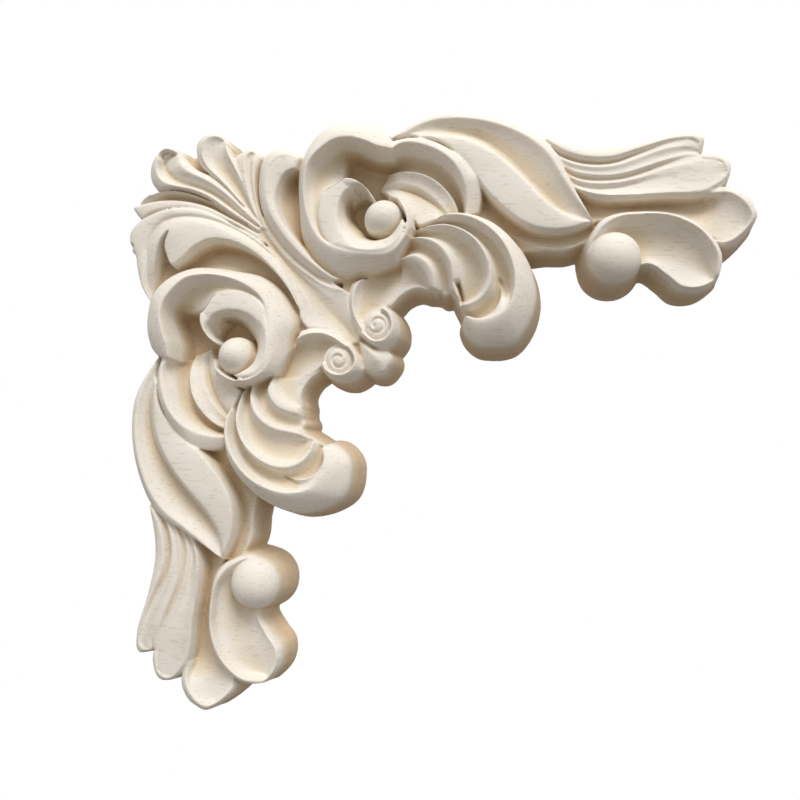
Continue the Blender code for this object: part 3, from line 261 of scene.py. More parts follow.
# Hooked scroll with its strands
HOOK_EDGE = seen([(437, 219, 14), (450, 214.5, 15.2), (489, 221, 15.2), (527.5, 261, 13),
                  (535.5, 303, 12.2), (524.5, 331, 12), (516, 341, 12), (490, 347, 12), (478, 345, 12),
                  (463, 323, 12), (465, 317, 12.4)])
HOOK_BEAD = seen([(437, 219.5, 14.4), (450, 217.5, 16.6), (462, 217.5, 17.6), (502, 243, 18.4),
                  (513, 290, 17.6), (509, 303, 17.4), (477, 318, 15.2), (468, 315.5, 14)])
BULB_GROOVE = seen([(499, 278.5, 13.2), (508, 292, 14.8), (508.5, 300, 16.4), (487, 317.8, 16),
                    (477, 319.5, 15.4), (467, 316, 14)])
BULB_LIP = seen([(499, 278.5, 13.2), (498, 303, 16.8), (493, 310, 16.8), (477, 317.5, 15.4),
                 (467, 315, 14)])
HOOK_SECOND = seen([(416, 229, 14), (446, 223.5, 17), (467, 231, 18), (491.5, 277, 16.6), (489, 287, 16.2),
                    (469, 305.5, 14.4), (461, 306, 13.8)])
HOOK_SECOND_IN = seen([(415, 231, 13.6), (457, 230.5, 17.2), (474, 243.5, 17), (485.5, 281, 15.6),
                       (482, 290, 15), (461, 304.5, 13.4)])
HOOK_THIRD = seen([(411, 238, 14), (420, 236.5, 15.4), (439, 243, 16.6), (451, 259, 16.2), (456, 288, 14.2),
                   (458, 298, 13.4)])
HOOK_THIRD_IN = seen([(411, 241, 13.6), (420, 241, 14.8), (443, 256, 15.6), (451, 290, 13.4)])
HOOK_FOURTH = seen([(399, 260, 13.4), (414, 254.5, 15.4), (429, 264, 15.4), (436, 289, 13.2)])
HOOK_FOURTH_IN = seen([(400, 262, 13), (409, 262, 14), (423, 272, 14.2), (429, 288, 13)])
ARCH = seen([(389, 307, 11.4), (394, 302.5, 11.2), (399, 297, 11), (419, 287.5, 12), (428, 289.5, 12.6)])
SCALLOP = seen([(424, 288, 11), (432, 290.5, 11), (436, 289, 11), (446, 295, 11), (451, 293.5, 11),
                (459, 305, 11), (466, 320, 11)])
SCALLOP_IN = seen([(424, 278, 11.4), (440, 281, 11.4), (455, 286, 11.4), (473, 312, 11.4)])
CHIP = seen([(457, 281, 13.6), (460, 290, 13.2), (462, 299, 13)])
CHIP_WIDTH = 1.3
CHIP_DEPTH = 4.0

# Small scroll beside the drop
NECK_SIDE = seen([(352, 283, 12.6), (349, 292, 12.6), (358, 332, 12.2)])
NECK_RIM = seen([(364, 277, 14), (358, 283, 14.6), (352, 306, 15), (364, 333, 15), (376, 340, 15.2),
                 (383, 338, 15.2), (390.5, 326, 15.2), (386, 312, 15), (380, 308.5, 14.8)])
NECK_IN = seen([(366, 278, 12.6), (357.5, 292, 13), (358.5, 316, 13), (362, 323, 13)])
NECK_FLOOR = seen([(402, 268, 10.6), (400, 280, 10.6), (397, 292, 11), (390, 302, 11.6), (384, 307.5, 12.6),
                   (377, 310.5, 13.4), (369, 317, 13.6)])
SCROLL_EDGE = seen([(352, 320, 12.4), (357, 331, 12.2), (388, 349, 12), (398, 336, 12), (395.5, 316.5, 12),
                    (389.5, 309.5, 12), (385, 307, 12.6)])
SCROLL_RIM = seen([(354.5, 317, 15), (363, 332, 15), (376, 340, 15.2), (383, 338, 15.2), (390.5, 326, 15.2),
                   (386, 312, 15), (380, 308.5, 14.8)])
NECK_END = 4              # points of the rim that belong to the neck
EYE_CENTRE = (65.8, 56.0)
EYE_RADIUS = 3.5
EYE_SEAT = 13.0
EYE_TOP = 14.8
EYE_FLOOR_RADIUS = EYE_RADIUS + 1.2
EYE_CUT_START = 2.6       # radius where the spiral cut starts
EYE_CUT_END = 1.0
EYE_CUT_FROM = 0.45       # where it starts, as a share of a turn
EYE_CUT_TURNS = -1.1
EYE_CUT_HEIGHT = EYE_TOP - 0.3
EYE_CUT_WIDTH = 0.8
EYE_CUT_DEPTH = 0.8

# Drop on the diagonal
DROP_AXIS = seen([(359, 341.5, 12.2), (378, 360.5, 13.8), (385, 371, 12)])
DROP_RIGHT = seen([(360, 341, 12.2), (368, 344.5, 12.4), (375, 349, 12.2), (388, 352, 11.8),
                   (391, 357, 11.8), (385, 371, 12)])
DROP_LEFT = seen([(359, 342, 12.2), (361, 356, 12), (364, 369, 11.8), (382, 373.5, 11.8), (385, 371, 12)])

# Crest leaves at the corner
CURL_OUT = seen([(181, 152, 12), (172, 147.5, 13), (152, 165, 12.6), (153, 184, 12.4), (160, 189.5, 13),
                 (172, 189, 13.4), (209, 199.5, 13.6), (221, 207.5, 13.6), (259, 231.5, 13.6)])
CURL_LIP = seen([(176, 153, 14), (170, 151, 14.6), (163, 153.5, 14.8), (157, 168, 14.6), (159.5, 176, 14.6),
                 (177, 185.5, 14.8), (190, 187.5, 14.8), (213, 197, 14.8), (225, 205.5, 14.6),
                 (259, 228.5, 13.8)])
CURL_IN = seen([(174, 157, 11.5), (169.5, 156, 11), (166, 158, 11), (166.5, 169, 12), (181, 180, 12.6),
                (192, 183, 12.8), (215, 193, 12.8), (248, 218.5, 13.2), (259, 226, 13.4)])
CURL_RIDGE = seen([(176.5, 155, 13.4), (181, 165, 14.6), (214, 184.5, 15), (259, 224, 14)])
CURL_SIDE = seen([(182, 151, 12), (185, 158, 12.4), (199, 170.5, 12.8), (209, 175, 12.8),
                  (248, 211.5, 13.2), (259, 222.5, 13.4)])
EAVE_TOP = seen([(135, 206, 12.4), (142, 198.5, 13), (209, 200, 14.6), (221, 208, 14.4), (259, 232, 13.8)])
EAVE_MID = seen([(134.5, 207, 12), (152, 202, 12.4), (207, 206.5, 13.2), (232, 219, 13.6),
                 (259, 234.5, 13.6)])
EAVE_LOW = seen([(134, 209.5, 11.6), (143, 218, 12), (150, 214, 12.6), (186, 208, 13.4), (225, 220.5, 13.6),
                 (262, 242, 13.6)])
CREST_OUT = seen([(152, 303, 11), (145, 293, 11.5), (137.5, 268, 12), (136, 257, 12), (131.5, 248, 12),
                  (131, 232, 12), (137, 224, 12.4), (152, 214, 13), (187, 208, 13.6), (238, 227.5, 13.6),
                  (262, 242.5, 13.6), (304, 290, 13.2)])
CREST_GROOVE = seen([(153, 297, 10), (148.5, 286, 11), (147, 258, 12.6), (147, 248, 12.8), (163, 222, 13.4),
                     (175, 217.5, 13.6), (188, 216.5, 13.8), (245, 235, 13.8), (300, 293, 13.4),
                     (305, 305, 13.2)])
CREST_INNER = seen([(158, 288, 9.6), (155.5, 262, 13.4), (162, 237, 15), (170, 228.5, 15.2),
                    (182, 223.5, 15.4), (210, 225, 15.8), (242, 238, 15.6), (256, 246, 15.4),
                    (289, 281.5, 14.6), (303, 308, 14)])
WIDE_STUB = seen([(164.5, 252, 14.4), (163.5, 245, 14.4), (165.5, 236.5, 14.8)])
WIDE_START = 3            # point of the crest's inner line where the wide leaf joins it
WIDE_FIRST = np.vstack([WIDE_STUB, CREST_INNER[WIDE_START:]])
WIDE_EDGE = seen([(166, 256, 14.4), (171, 265.5, 14.6), (180, 259.5, 15.4), (195, 246, 16),
                  (212, 239.5, 16), (224, 240.5, 16), (287, 289, 15), (303, 322, 13.8)])
SHADE_FIRST = seen([(158, 289, 8.6), (163, 276, 8), (168, 266, 7.6), (176, 260.5, 7.6), (187, 253.5, 7.4),
                    (195, 246, 7.2), (212, 239.5, 7.2), (224, 240.5, 7.4), (287, 289, 10.4),
                    (303, 322, 12)])
SHADE_SECOND = seen([(160, 300, 10), (165, 297, 10), (176, 286, 10.4), (229, 272, 11.6), (254, 284, 12),
                     (283, 317, 12), (288, 328, 12)])
PEAK_EDGE = seen([(228, 143, 12), (221, 135.5, 13), (205, 136, 13.4), (199, 141, 13), (201, 167, 12.6),
                  (209, 174, 12.8), (219, 181, 13), (239, 201.5, 13), (262, 228, 13.4)])
PEAK_RIDGE = seen([(223, 138.5, 14), (214, 137, 14.6), (207, 139.5, 15), (203, 156, 15), (208, 166, 14.8),
                   (216, 174, 14.8), (262, 227, 14)])
PEAK_SIDE = seen([(225, 140, 14.4), (227, 148.5, 15), (240, 178, 14.8), (256.5, 217, 14.2),
                  (262, 226.5, 14)])
SMALL_EDGE = seen([(262, 158, 12), (257.5, 152.5, 12.6), (240, 153.5, 12.8), (234, 158.5, 12.6),
                   (233, 164, 12.6), (237, 173, 13), (243, 184.5, 13), (252, 208.5, 13.2),
                   (261, 229, 13.4)])
SMALL_FIRST = seen([(250, 152.5, 13.4), (246.5, 156, 14), (246, 173, 14.4), (262, 229, 13.6)])
SMALL_GROOVE = seen([(251.5, 153.5, 12.8), (249.5, 158, 12.6), (249, 166, 12.6), (250.8, 185, 13),
                     (263, 229, 13.4)])
SMALL_SECOND = seen([(256, 154.5, 13.2), (253.5, 160, 14), (252.5, 170, 14.2), (264.5, 229, 13.6)])
SMALL_SIDE = seen([(262, 159, 12), (259.5, 166, 12.4), (258.5, 201, 12.8), (268, 230, 13.4)])
SPOON_EDGE = seen([(305, 158.5, 12), (290, 151, 13), (271, 152.5, 12.8), (265, 158, 12.8), (259, 180, 12.8),
                   (261, 208, 12.8), (282, 244, 13), (318, 276, 12.6), (331, 283, 12.4)])
SPOON_RIDGE = seen([(303, 161.5, 15), (279, 157.5, 16), (272, 162.5, 16), (266.5, 183, 16), (275, 219, 16),
                    (283, 231, 15.8), (316, 264.5, 14.8), (341, 280, 13.2)])
SPOON_INNER = seen([(301, 168, 15), (285, 173, 15.6), (276, 191, 15.4), (302, 246, 14.8),
                    (334, 272.5, 13.4), (345, 278.5, 12.8)])
SPOON_FLANK = seen([(303, 170, 8.6), (303, 215, 9), (307, 240, 10), (331, 269, 11.6), (344, 276, 12)])

# Bundle of stems on the diagonal, and the knot where the leaves meet it
KNOT_CENTRE = (31.0, 30.0)
KNOT_RADIUS = 4.0
KNOT_TOP = 13.4
KNOT_HOLE = (-8.6, 34.6)  # small dark hole in the left flank of the crest
KNOT_HOLE_RADIUS = 0.9
KNOT_HOLE_DEPTH = 3.0
BUNDLE_AXIS = line([(30.9, 31, 13.2), (36, 36, 12.8), (42, 42.4, 12.4), (48, 48.4, 11.8), (54, 54.2, 11.4),
                    (58, 58, 11.6), (60.6, 60.6, 12.2)])
BUNDLE_UPPER = seen([(262, 228, 13.4), (295, 266, 13.6), (335, 288, 13.4), (346, 291, 13.4),
                     (350, 312, 13.2), (361, 338, 12.2)])
BUNDLE_LOWER = line([(30.8, 32.2, 13.6), (34.6, 36, 13.6), (38.4, 40.4, 13.6), (41.4, 45.4, 13.6),
                     (43.4, 50.5, 13.6), (44.6, 55, 13.4), (47, 57.4, 13.4), (51, 57.8, 13.2),
                     (55.3, 59.3, 12.8), (58.6, 61.2, 12.2)])

# Board left low between and below the carving
ARM_BOARD_EDGE = line([(30, 20), (50, 8), (70, 5), (90, 5), (105, 8), (116, 15)], [10])
ARM_BOARD_SIDE = line([(46, 46), (60, 46), (74, 45), (88, 37), (104, 35), (118, 33)], [10])
CREST_BOARD_EDGE = line([(-6, 30), (0, 12), (14, 4), (28, 9), (38, 8), (50, 8)], [9])
CREST_BOARD_SIDE = line([(2, 50), (14, 44), (20, 40), (30, 40), (40, 40), (56, 56)], [9])
MIDDLE_BOARD_UPPER = line([(34, 34, 11), (52, 42, 11), (62, 45, 11), (67.4, 50.6, 11), (70.4, 54.4, 11),
                           (71, 57, 11), (70.2, 59.4, 11), (68.5, 61.8, 11), (68.5, 64.6, 11),
                           (67.9, 66.6, 11), (66.8, 67.8, 11)])
MIDDLE_BOARD_LOWER = MIDDLE_BOARD_UPPER[:, (1, 0, 2)]


def smooth(points, count):
    """Rounded line through a few points, in even steps."""
    gaps = np.linalg.norm(np.diff(points[:, :2], axis=0), axis=1)
    knots = np.concatenate([[0.0], np.cumsum(gaps)])
    slope = np.diff(points, axis=0) / gaps[:, None]
    tangent = np.empty_like(points)
    tangent[0], tangent[-1] = slope[0], slope[-1]
    if len(points) > 2:
        before, after = gaps[:-1, None], gaps[1:, None]
        tangent[1:-1] = (slope[:-1] * after + slope[1:] * before) / (before + after)
        tangent[0] = 1.5 * slope[0] - 0.5 * tangent[1]
        tangent[-1] = 1.5 * slope[-1] - 0.5 * tangent[-2]
    x = np.linspace(0.0, knots[-1], count)
    k = np.clip(np.searchsorted(knots, x, side="right") - 1, 0, len(gaps) - 1)
    d = gaps[k][:, None]
    w = (x[:, None] - knots[k][:, None]) / d
    start = (2 * w**3 - 3 * w**2 + 1) * points[k] + (w**3 - 2 * w**2 + w) * d * tangent[k]
    return start + (3 * w**2 - 2 * w**3) * points[k + 1] + (w**3 - w**2) * d * tangent[k + 1]


# Cross-sections: s runs along a band and t across it
def flat(s, t):
    return 0.0 * t


def hollow(depth, lean=1.0, power=2.0):
    """Gouge cut with a round bottom; lean below one moves the bottom to the first side."""
    return lambda s, t: -depth * (1.0 - np.abs(2.0 * t**lean - 1.0) ** power)


def bead(height, lean=1.0):
    """Rounded bead."""
    return lambda s, t: height * np.sqrt(np.clip(1.0 - (2.0 * t**lean - 1.0) ** 2, 0.0, 1.0))


def flutes(count, depth):
    """Gouge cuts side by side."""
    return lambda s, t: -depth * (1.0 - (2.0 * np.mod(count * t, 1.0) - 1.0) ** 2)


def along(shares, section):
    """A cross-section that grows and fades along its band by the given shares."""
    stations = np.linspace(0.0, 1.0, len(shares))
    return lambda s, t: section(s, t) * np.interp(s, stations, shares)


class Relief:
    """Height grid that the carved elements are laid into, later ones over earlier ones."""

    def __init__(self, step):
        self.step = step
        self.count = int(round(WINDOW_SPAN / step)) + 1
        self.top = np.zeros((self.count, self.count))
        self.cover = np.zeros((self.count, self.count))

    def lay(self, u, v, height, mirrored, cut=False):
        """Average a sampled patch into the grid cells and lay it over what is there."""
        if mirrored:
            u, v = v, u
        u_along, u_across = np.gradient(u)
        v_along, v_across = np.gradient(v)
        area = np.abs(u_along * v_across - u_across * v_along) / self.step**2
        x = (u - WINDOW_U) / self.step
        y = (v - WINDOW_V) / self.step
        left, top = int(x.min()) - 1, int(y.min()) - 1
        wide, tall = int(x.max()) - left + 3, int(y.max()) - top + 3
        x, y, height, area = (part.ravel() for part in (x - left, y - top, height, area))
        column, row = x.astype(int), y.astype(int)
        right_share, down_share = x - column, y - row
        weight, lifted = np.zeros(wide * tall), np.zeros(wide * tall)
        for i in (0, 1):
            for j in (0, 1):
                share = (right_share if i else 1 - right_share) * (down_share if j else 1 - down_share)
                cell = (row + j) * wide + column + i
                weight += np.bincount(cell, share * area, wide * tall)
                lifted += np.bincount(cell, share * area * height, wide * tall)
        level = (lifted / np.maximum(weight, TINY)).reshape(tall, wide)
        share = np.clip(COVER_GAIN * weight.reshape(tall, wide) - COVER_LOSS, 0.0, 1.0)
        where = (slice(top, top + tall), slice(left, left + wide))
        old, covered = self.top[where], self.cover[where]
        if cut:
            self.top[where] = old + share * np.minimum(level - old, 0.0)
            return
        kept = covered * (1.0 - share)
        mixed = (old * kept + level * share) / np.maximum(kept + share, TINY)
        self.top[where] = np.where(share > 0.0, mixed, old)
        self.cover[where] = np.where(share > 0.0, np.minimum(covered + share, 1.0), covered)

    def band(self, first, second, section=flat, mirrored=False, cut=False):
        """Surface ruled between two lines with a cross-section on top."""
        reach = max(np.linalg.norm(np.diff(edge[:, :2], axis=0), axis=1).sum() for edge in (first, second))
        rows = int(reach * CURVE_SLACK / (SAMPLE_SHARE * self.step)) + 4
        a, b = smooth(first, rows), smooth(second, rows)
        width = np.linalg.norm(a[:, :2] - b[:, :2], axis=1).max()
        columns = int(width / (SAMPLE_SHARE * self.step)) + 6
        lap = 0.5 * self.step / max(width, self.step)
        t = np.linspace(-lap, 1.0 + lap, columns)[None, :]
        inside = np.clip(t, 0.0, 1.0)
        s = np.linspace(0.0, 1.0, rows)[:, None]
        u = a[:, :1] * (1 - t) + b[:, :1] * t
        v = a[:, 1:2] * (1 - t) + b[:, 1:2] * t
        level = a[:, 2:] * (1 - inside) + b[:, 2:] * inside
        self.lay(u, v, level + section(s, inside), mirrored, cut)

    def groove(self, way, width, depth, mirrored=False):
        """Narrow cut along a line, to a depth below the heights of the line."""
        path = smooth(way, 8 * len(way))
        heading = np.gradient(path[:, :2], axis=0)
        across = np.column_stack([-heading[:, 1], heading[:, 0]])
        across *= 0.5 * width / np.linalg.norm(across, axis=1)[:, None]
        left, right = path.copy(), path.copy()
        left[:, :2] += across
        right[:, :2] -= across
        self.band(left, right, hollow(depth), mirrored, cut=True)

    def boss(self, centre, radius, low, high, mirrored=False):
        """Round boss, or a pit where high is the lower of the two."""
        rings = int(radius / (SAMPLE_SHARE * self.step)) + 4
        spokes = int(2 * math.pi * radius / (SAMPLE_SHARE * self.step)) + 8
        r = ((np.arange(rings) + 0.5) / rings)[:, None]
        turn = (np.arange(spokes) * 2 * math.pi / spokes)[None, :]
        u = centre[0] + radius * r * np.cos(turn)
        v = centre[1] + radius * r * np.sin(turn)
        self.lay(u, v, low + (high - low) * np.sqrt(1.0 - r**2) + 0.0 * turn, mirrored)


def carve_tail(relief, mirrored):
    relief.band(THIRD_UPPER, THIRD_LOWER, hollow(1.2, 0.8), mirrored)
    relief.band(THIRD_EDGE, THIRD_RIM, bead(0.4), mirrored)
    relief.band(TAIL_OUT, TAIL_FIRST, bead(0.8), mirrored)
    relief.band(TAIL_FIRST, TAIL_GROOVE, flat, mirrored)
    relief.band(TAIL_GROOVE, TAIL_SECOND, flat, mirrored)
    relief.band(TAIL_SECOND, TAIL_THIRD, hollow(0.5), mirrored)
    relief.band(TAIL_THIRD, SECOND_GROOVE, flat, mirrored)
    relief.band(SECOND_GROOVE, SECOND_RIDGE, flat, mirrored)
    relief.band(SECOND_RIDGE, THIRD_GROOVE, flat, mirrored)
    relief.band(THIRD_GROOVE, LOWER_RIDGE, hollow(0.2), mirrored)
    relief.band(LOWER_RIDGE, LOWER_EDGE, bead(0.2), mirrored)
    relief.band(SECOND_TIP, SECOND_TIP_IN, bead(0.3), mirrored)


def carve_leaf(relief, mirrored):
    relief.band(COVE_FIRST, COVE_SIDE, hollow(0.5), mirrored)
    relief.band(LEAF_EDGE, LEAF_RIM, bead(0.4), mirrored)
    relief.band(LEAF_RIM, RIB_GROOVE, hollow(0.5), mirrored)
    relief.band(RIB_GROOVE, LEAF_RIDGE, flat, mirrored)
    relief.band(LEAF_RIDGE, LEAF_SIDE, bead(0.4), mirrored)


def carve_petal(relief, mirrored):
    relief.band(PETAL_IN, PETAL_LOW, hollow(2.0), mirrored)
    relief.band(PETAL_EDGE, PETAL_RIM, bead(0.4), mirrored)
    relief.band(PETAL_RIM, PETAL_IN, bead(0.2), mirrored)
    relief.boss(BALL_CENTRE, BALL_RADIUS, BALL_SEAT, BALL_TOP, mirrored)


def carve_cup(relief, mirrored):
    relief.band(HOLE_UPPER, HOLE_LOWER, hollow(0.8), mirrored)
    relief.band(CUP_EDGE, CUP_RIM, bead(0.4), mirrored)
    relief.band(CUP_RIM, CUP_STRAND, hollow(4.5, 1.5), mirrored)
    relief.band(CUP_STRAND, CUP_SECOND, hollow(0.5), mirrored)
    relief.band(CUP_SECOND, CUP_GROOVE, flat, mirrored)
    relief.band(CUP_GROOVE, CUP_FOOT, bead(0.8), mirrored)


def carve_volute(relief, mirrored):
    relief.band(VOLUTE_EDGE, VOLUTE_RIM, bead(1.4), mirrored)
    channel = along((1, 1, 0.8, 0.4, 0.2), hollow(4.0, 0.6))
    relief.band(VOLUTE_RIM[:CHANNEL_END], CHANNEL_FOOT, channel, mirrored)
    relief.boss(PIT_CENTRE, PIT_RADIUS, PIT_BOTTOM, PIT_BOTTOM, mirrored)
    relief.band(PIT_OUTER, PIT_INNER, hollow(-1.0), mirrored)
    relief.band(TURN_OUTER, TURN_INNER, bead(0.3), mirrored)
    relief.band(CRESCENT_OUT, CRESCENT_IN, bead(0.4), mirrored)
    relief.band(LIP_OUTER, LIP_INNER, bead(0.5), mirrored)
    relief.boss(PEARL_CENTRE, PEARL_RADIUS, PEARL_SEAT, PEARL_TOP, mirrored)


def carve_hook(relief, mirrored):
    relief.band(SCALLOP, SCALLOP_IN, flat, mirrored)
    relief.band(HOOK_FOURTH_IN, ARCH, hollow(1.6, 0.7), mirrored)
    relief.band(HOOK_THIRD_IN, HOOK_FOURTH, hollow(2.4, 0.7, 2.6), mirrored)
    relief.band(HOOK_SECOND_IN, HOOK_THIRD, hollow(2.8, 0.8, 2.6), mirrored)
    relief.band(HOOK_BEAD, HOOK_SECOND, hollow(3.8, 0.8, 2.4), mirrored)
    relief.band(BULB_GROOVE, BULB_LIP, along((1, 0.7, 0, 0), hollow(1.5)), mirrored)
    relief.band(HOOK_FOURTH, HOOK_FOURTH_IN, bead(0.4), mirrored)
    relief.band(HOOK_THIRD, HOOK_THIRD_IN, bead(0.4), mirrored)
    relief.band(HOOK_SECOND, HOOK_SECOND_IN, bead(0.4), mirrored)
    relief.band(HOOK_EDGE, HOOK_BEAD, bead(1.6), mirrored)


def carve_small_scroll(relief, mirrored):
    relief.band(NECK_IN, NECK_FLOOR, hollow(1.6, 0.7), mirrored)
    relief.boss(EYE_CENTRE, EYE_FLOOR_RADIUS, EYE_SEAT, EYE_SEAT, mirrored)
    relief.band(SCROLL_EDGE, SCROLL_RIM, bead(1.0), mirrored)
    relief.band(NECK_SIDE, NECK_RIM[:NECK_END], flat, mirrored)
    relief.band(NECK_RIM[:NECK_END], NECK_IN, bead(0.2), mirrored)
    relief.boss(EYE_CENTRE, EYE_RADIUS, EYE_SEAT, EYE_TOP, mirrored)
    eye_cut = spiral(EYE_CENTRE, EYE_CUT_START, EYE_CUT_END, EYE_CUT_FROM, EYE_CUT_TURNS, EYE_CUT_HEIGHT)
    relief.groove(eye_cut, EYE_CUT_WIDTH, EYE_CUT_DEPTH, mirrored)


def carve_crest(relief):
    relief.band(CREST_BOARD_EDGE, CREST_BOARD_SIDE)
    relief.boss(KNOT_CENTRE, KNOT_RADIUS, BOARD, KNOT_TOP)
    relief.band(SPOON_EDGE, BUNDLE_UPPER, hollow(0.6))
    relief.band(SHADE_FIRST, SHADE_SECOND, hollow(0.6))
    relief.band(CURL_IN, CURL_RIDGE, bead(0.3))
    relief.band(CURL_RIDGE, CURL_SIDE, bead(0.4))
    relief.band(CURL_OUT, CURL_LIP, bead(0.6))
    relief.band(CURL_LIP, CURL_IN, along((1.6, 1.2, 1, 1, 1), hollow(0.8)))
    relief.band(EAVE_TOP, EAVE_MID, along((0.4, 1, 1, 0.7, 0.3), hollow(3.2, 1.3)))
    relief.band(EAVE_MID, EAVE_LOW, bead(0.6))
    relief.band(CREST_OUT, CREST_GROOVE, bead(0.9))
    relief.band(CREST_GROOVE, CREST_INNER, bead(0.3))
    relief.band(WIDE_FIRST, WIDE_EDGE, bead(0.3))
    relief.band(SPOON_INNER, SPOON_FLANK, hollow(2.6, 0.8))
    relief.band(SPOON_EDGE, SPOON_RIDGE, bead(0.8))
    relief.band(SPOON_RIDGE, SPOON_INNER, bead(0.3))
    relief.band(SMALL_EDGE, SMALL_FIRST, bead(0.5))
    relief.band(SMALL_FIRST, SMALL_GROOVE)
    relief.band(SMALL_GROOVE, SMALL_SECOND)
    relief.band(SMALL_SECOND, SMALL_SIDE, bead(0.4))
    relief.band(PEAK_EDGE, PEAK_RIDGE, bead(0.5))
    relief.band(PEAK_RIDGE, PEAK_SIDE, along((0.5, 1, 1, 0.7, 0.3), hollow(2.4)))


def carve_bundle(relief):
    relief.band(BUNDLE_AXIS, BUNDLE_UPPER, along((1, 1, 0.4, 0, 0), flutes(2, 0.6)))
    relief.band(BUNDLE_AXIS, BUNDLE_LOWER, along((1, 1, 0.4, 0, 0), flutes(2, 0.6)))


def carve():
    """The two mirrored arms, with the crest and its stems laid between their lower and upper parts."""
    relief = Relief(GRID_STEP)
    for mirrored in (False, True):
        relief.band(ARM_BOARD_EDGE, ARM_BOARD_SIDE, flat, mirrored)
        carve_tail(relief, mirrored)
        carve_leaf(relief, mirrored)
        carve_petal(relief, mirrored)
        carve_cup(relief, mirrored)
    relief.band(MIDDLE_BOARD_UPPER, MIDDLE_BOARD_LOWER)
    carve_crest(relief)
    carve_bundle(relief)
    for mirrored in (False, True):
        carve_volute(relief, mirrored)
        carve_hook(relief, mirrored)
    for mirrored in (False, True):
        carve_small_scroll(relief, mirrored)
    relief.groove(CHIP, CHIP_WIDTH, CHIP_DEPTH)
    relief.boss(KNOT_HOLE, KNOT_HOLE_RADIUS, BOARD, BOARD - KNOT_HOLE_DEPTH)
    relief.band(DROP_AXIS, DROP_RIGHT, bead(0.3))
    relief.band(DROP_AXIS, DROP_LEFT, bead(0.3))
    return flared(relief)


def blur(field, cells):
    """Round the edges off as a small gouge and sandpaper leave them."""
    reach = int(math.ceil(3 * cells))
    weights = np.exp(-0.5 * (np.arange(-reach, reach + 1) / cells) ** 2)
    weights /= weights.sum()
    for axis in (0, 1):
        margin = [(0, 0), (0, 0)]
        margin[axis] = (reach, reach)
        wide = np.pad(field, margin, mode="edge")
        size = field.shape[axis]
        field = sum(w * np.take(wide, np.arange(i, i + size), axis=axis) for i, w in enumerate(weights))
    return field


def flared(relief):
    """Sides that slope out a little toward the back, as a tapered cutter leaves them."""
    step, reach = relief.step, int(math.ceil(FLARE / relief.step)) + 1
    top = np.where(relief.cover > 0.5, relief.top, 0.0)
    cover = relief.cover.copy()
    edge_top, edge_cover = relief.top, relief.cover
    for i in range(-reach, reach + 1):
        for j in range(-reach, reach + 1):
            left = FLARE + (edge_cover - 0.5) * step - step * math.hypot(i, j)
            left = np.where(edge_cover > FAINT, left, -step)
            slope = FOOT + (edge_top - FOOT) * np.clip(left / FLARE, 0.0, 1.0)
            height = np.where(left > -0.5 * step, slope, 0.0)
            top = np.where(edge_cover > 0.5, top, np.maximum(top, np.roll(height, (i, j), (0, 1))))
            cover = np.maximum(cover, np.roll(np.clip(left / step + 0.5, 0.0, 1.0), (i, j), (0, 1)))
    relief.top, relief.cover = top, cover
    return relief


def softened(relief, radius):
    """Heights and outline after the gouge and the sandpaper."""
    cells = radius / relief.step
    cover = blur(relief.cover, cells)
    top = blur(relief.top * relief.cover, cells) / np.maximum(cover, TINY)
    return top - ARRIS * (1.0 - np.clip(2.0 * cover - 1.0, 0.0, 1.0)) ** 2, cover


def painted_shade_depth(top, cover, step):
    """How far each place lies below its surroundings, which sets the painted shade: 1 in a full hollow, -1
    on a high ridge.
    """
    cells = SHADE_REACH / step
    around = blur(top * cover, cells) / np.maximum(blur(cover, cells), TINY)
    return np.clip((around - top) / FULL_SHADE_DEPTH, -1.0, 1.0)


def sheet(top, cover):
    """Points and faces of the carved side inside the outline, and the edges along the outline."""
    inside = cover >= 0.5
    node = np.full(inside.shape, -1)
    node[inside] = np.arange(inside.sum())
    y, x = np.nonzero(inside)
    columns, rows, heights = [x.astype(float)], [y.astype(float)], [top[inside]]
    count = len(x)
    crossing = []
    for down, right in ((0, 1), (1, 0)):
        here = (slice(0, inside.shape[0] - down), slice(0, inside.shape[1] - right))
        there = (slice(down, None), slice(right, None))
        y, x = np.nonzero(inside[here] != inside[there])
        share = (0.5 - cover[here][y, x]) / (cover[there][y, x] - cover[here][y, x])
        columns.append(x + right * share)
        rows.append(y + down * share)
        heights.append(top[here][y, x] * (1 - share) + top[there][y, x] * share)
        index = np.full(inside.shape, -1)
        index[y, x] = count + np.arange(len(x))
        count += len(x)
        crossing.append(index)
    along, downward = crossing
    ring = [node[:-1, :-1], node[:-1, 1:], node[1:, 1:], node[1:, :-1]]
    cuts = [along[:-1, :-1], downward[:-1, 1:], along[1:, :-1], downward[:-1, :-1]]
    held = sum((corner >= 0).astype(int) for corner in ring)
    whole = held == 4
    faces = np.stack([corner[whole] for corner in ring], -1).tolist()
    partly = (held > 0) & ~whole
    corners = np.stack([corner[partly] for corner in ring], -1).tolist()
    crossings = np.stack([index[partly] for index in cuts], -1).tolist()
    rim = []
    for four, cut in zip(corners, crossings):
        face = []
        for k in range(4):
            if four[k] >= 0:
                face.append((four[k], False))
            if cut[k] >= 0:
                face.append((cut[k], True))
        faces.append([point for point, on_rim in face])
        for k, (point, on_rim) in enumerate(face):
            after, after_on_rim = face[(k + 1) % len(face)]
            if on_rim and after_on_rim:
                rim.append((point, after))
    points = np.stack([np.concatenate(part) for part in (columns, rows, heights)], -1)
    return points, faces, rim


def walled(points, faces, rim, lowest):
    """The carved side with sawn walls from its outline down to the given height."""
    edge = sorted({point for pair in rim for point in pair})
    below = {point: len(points) + k for k, point in enumerate(edge)}
    foot = points[edge].copy()
    foot[:, 2] = lowest
    walls = [[b, a, below[a], below[b]] for a, b in rim]
    return np.concatenate([points, foot]), faces + walls


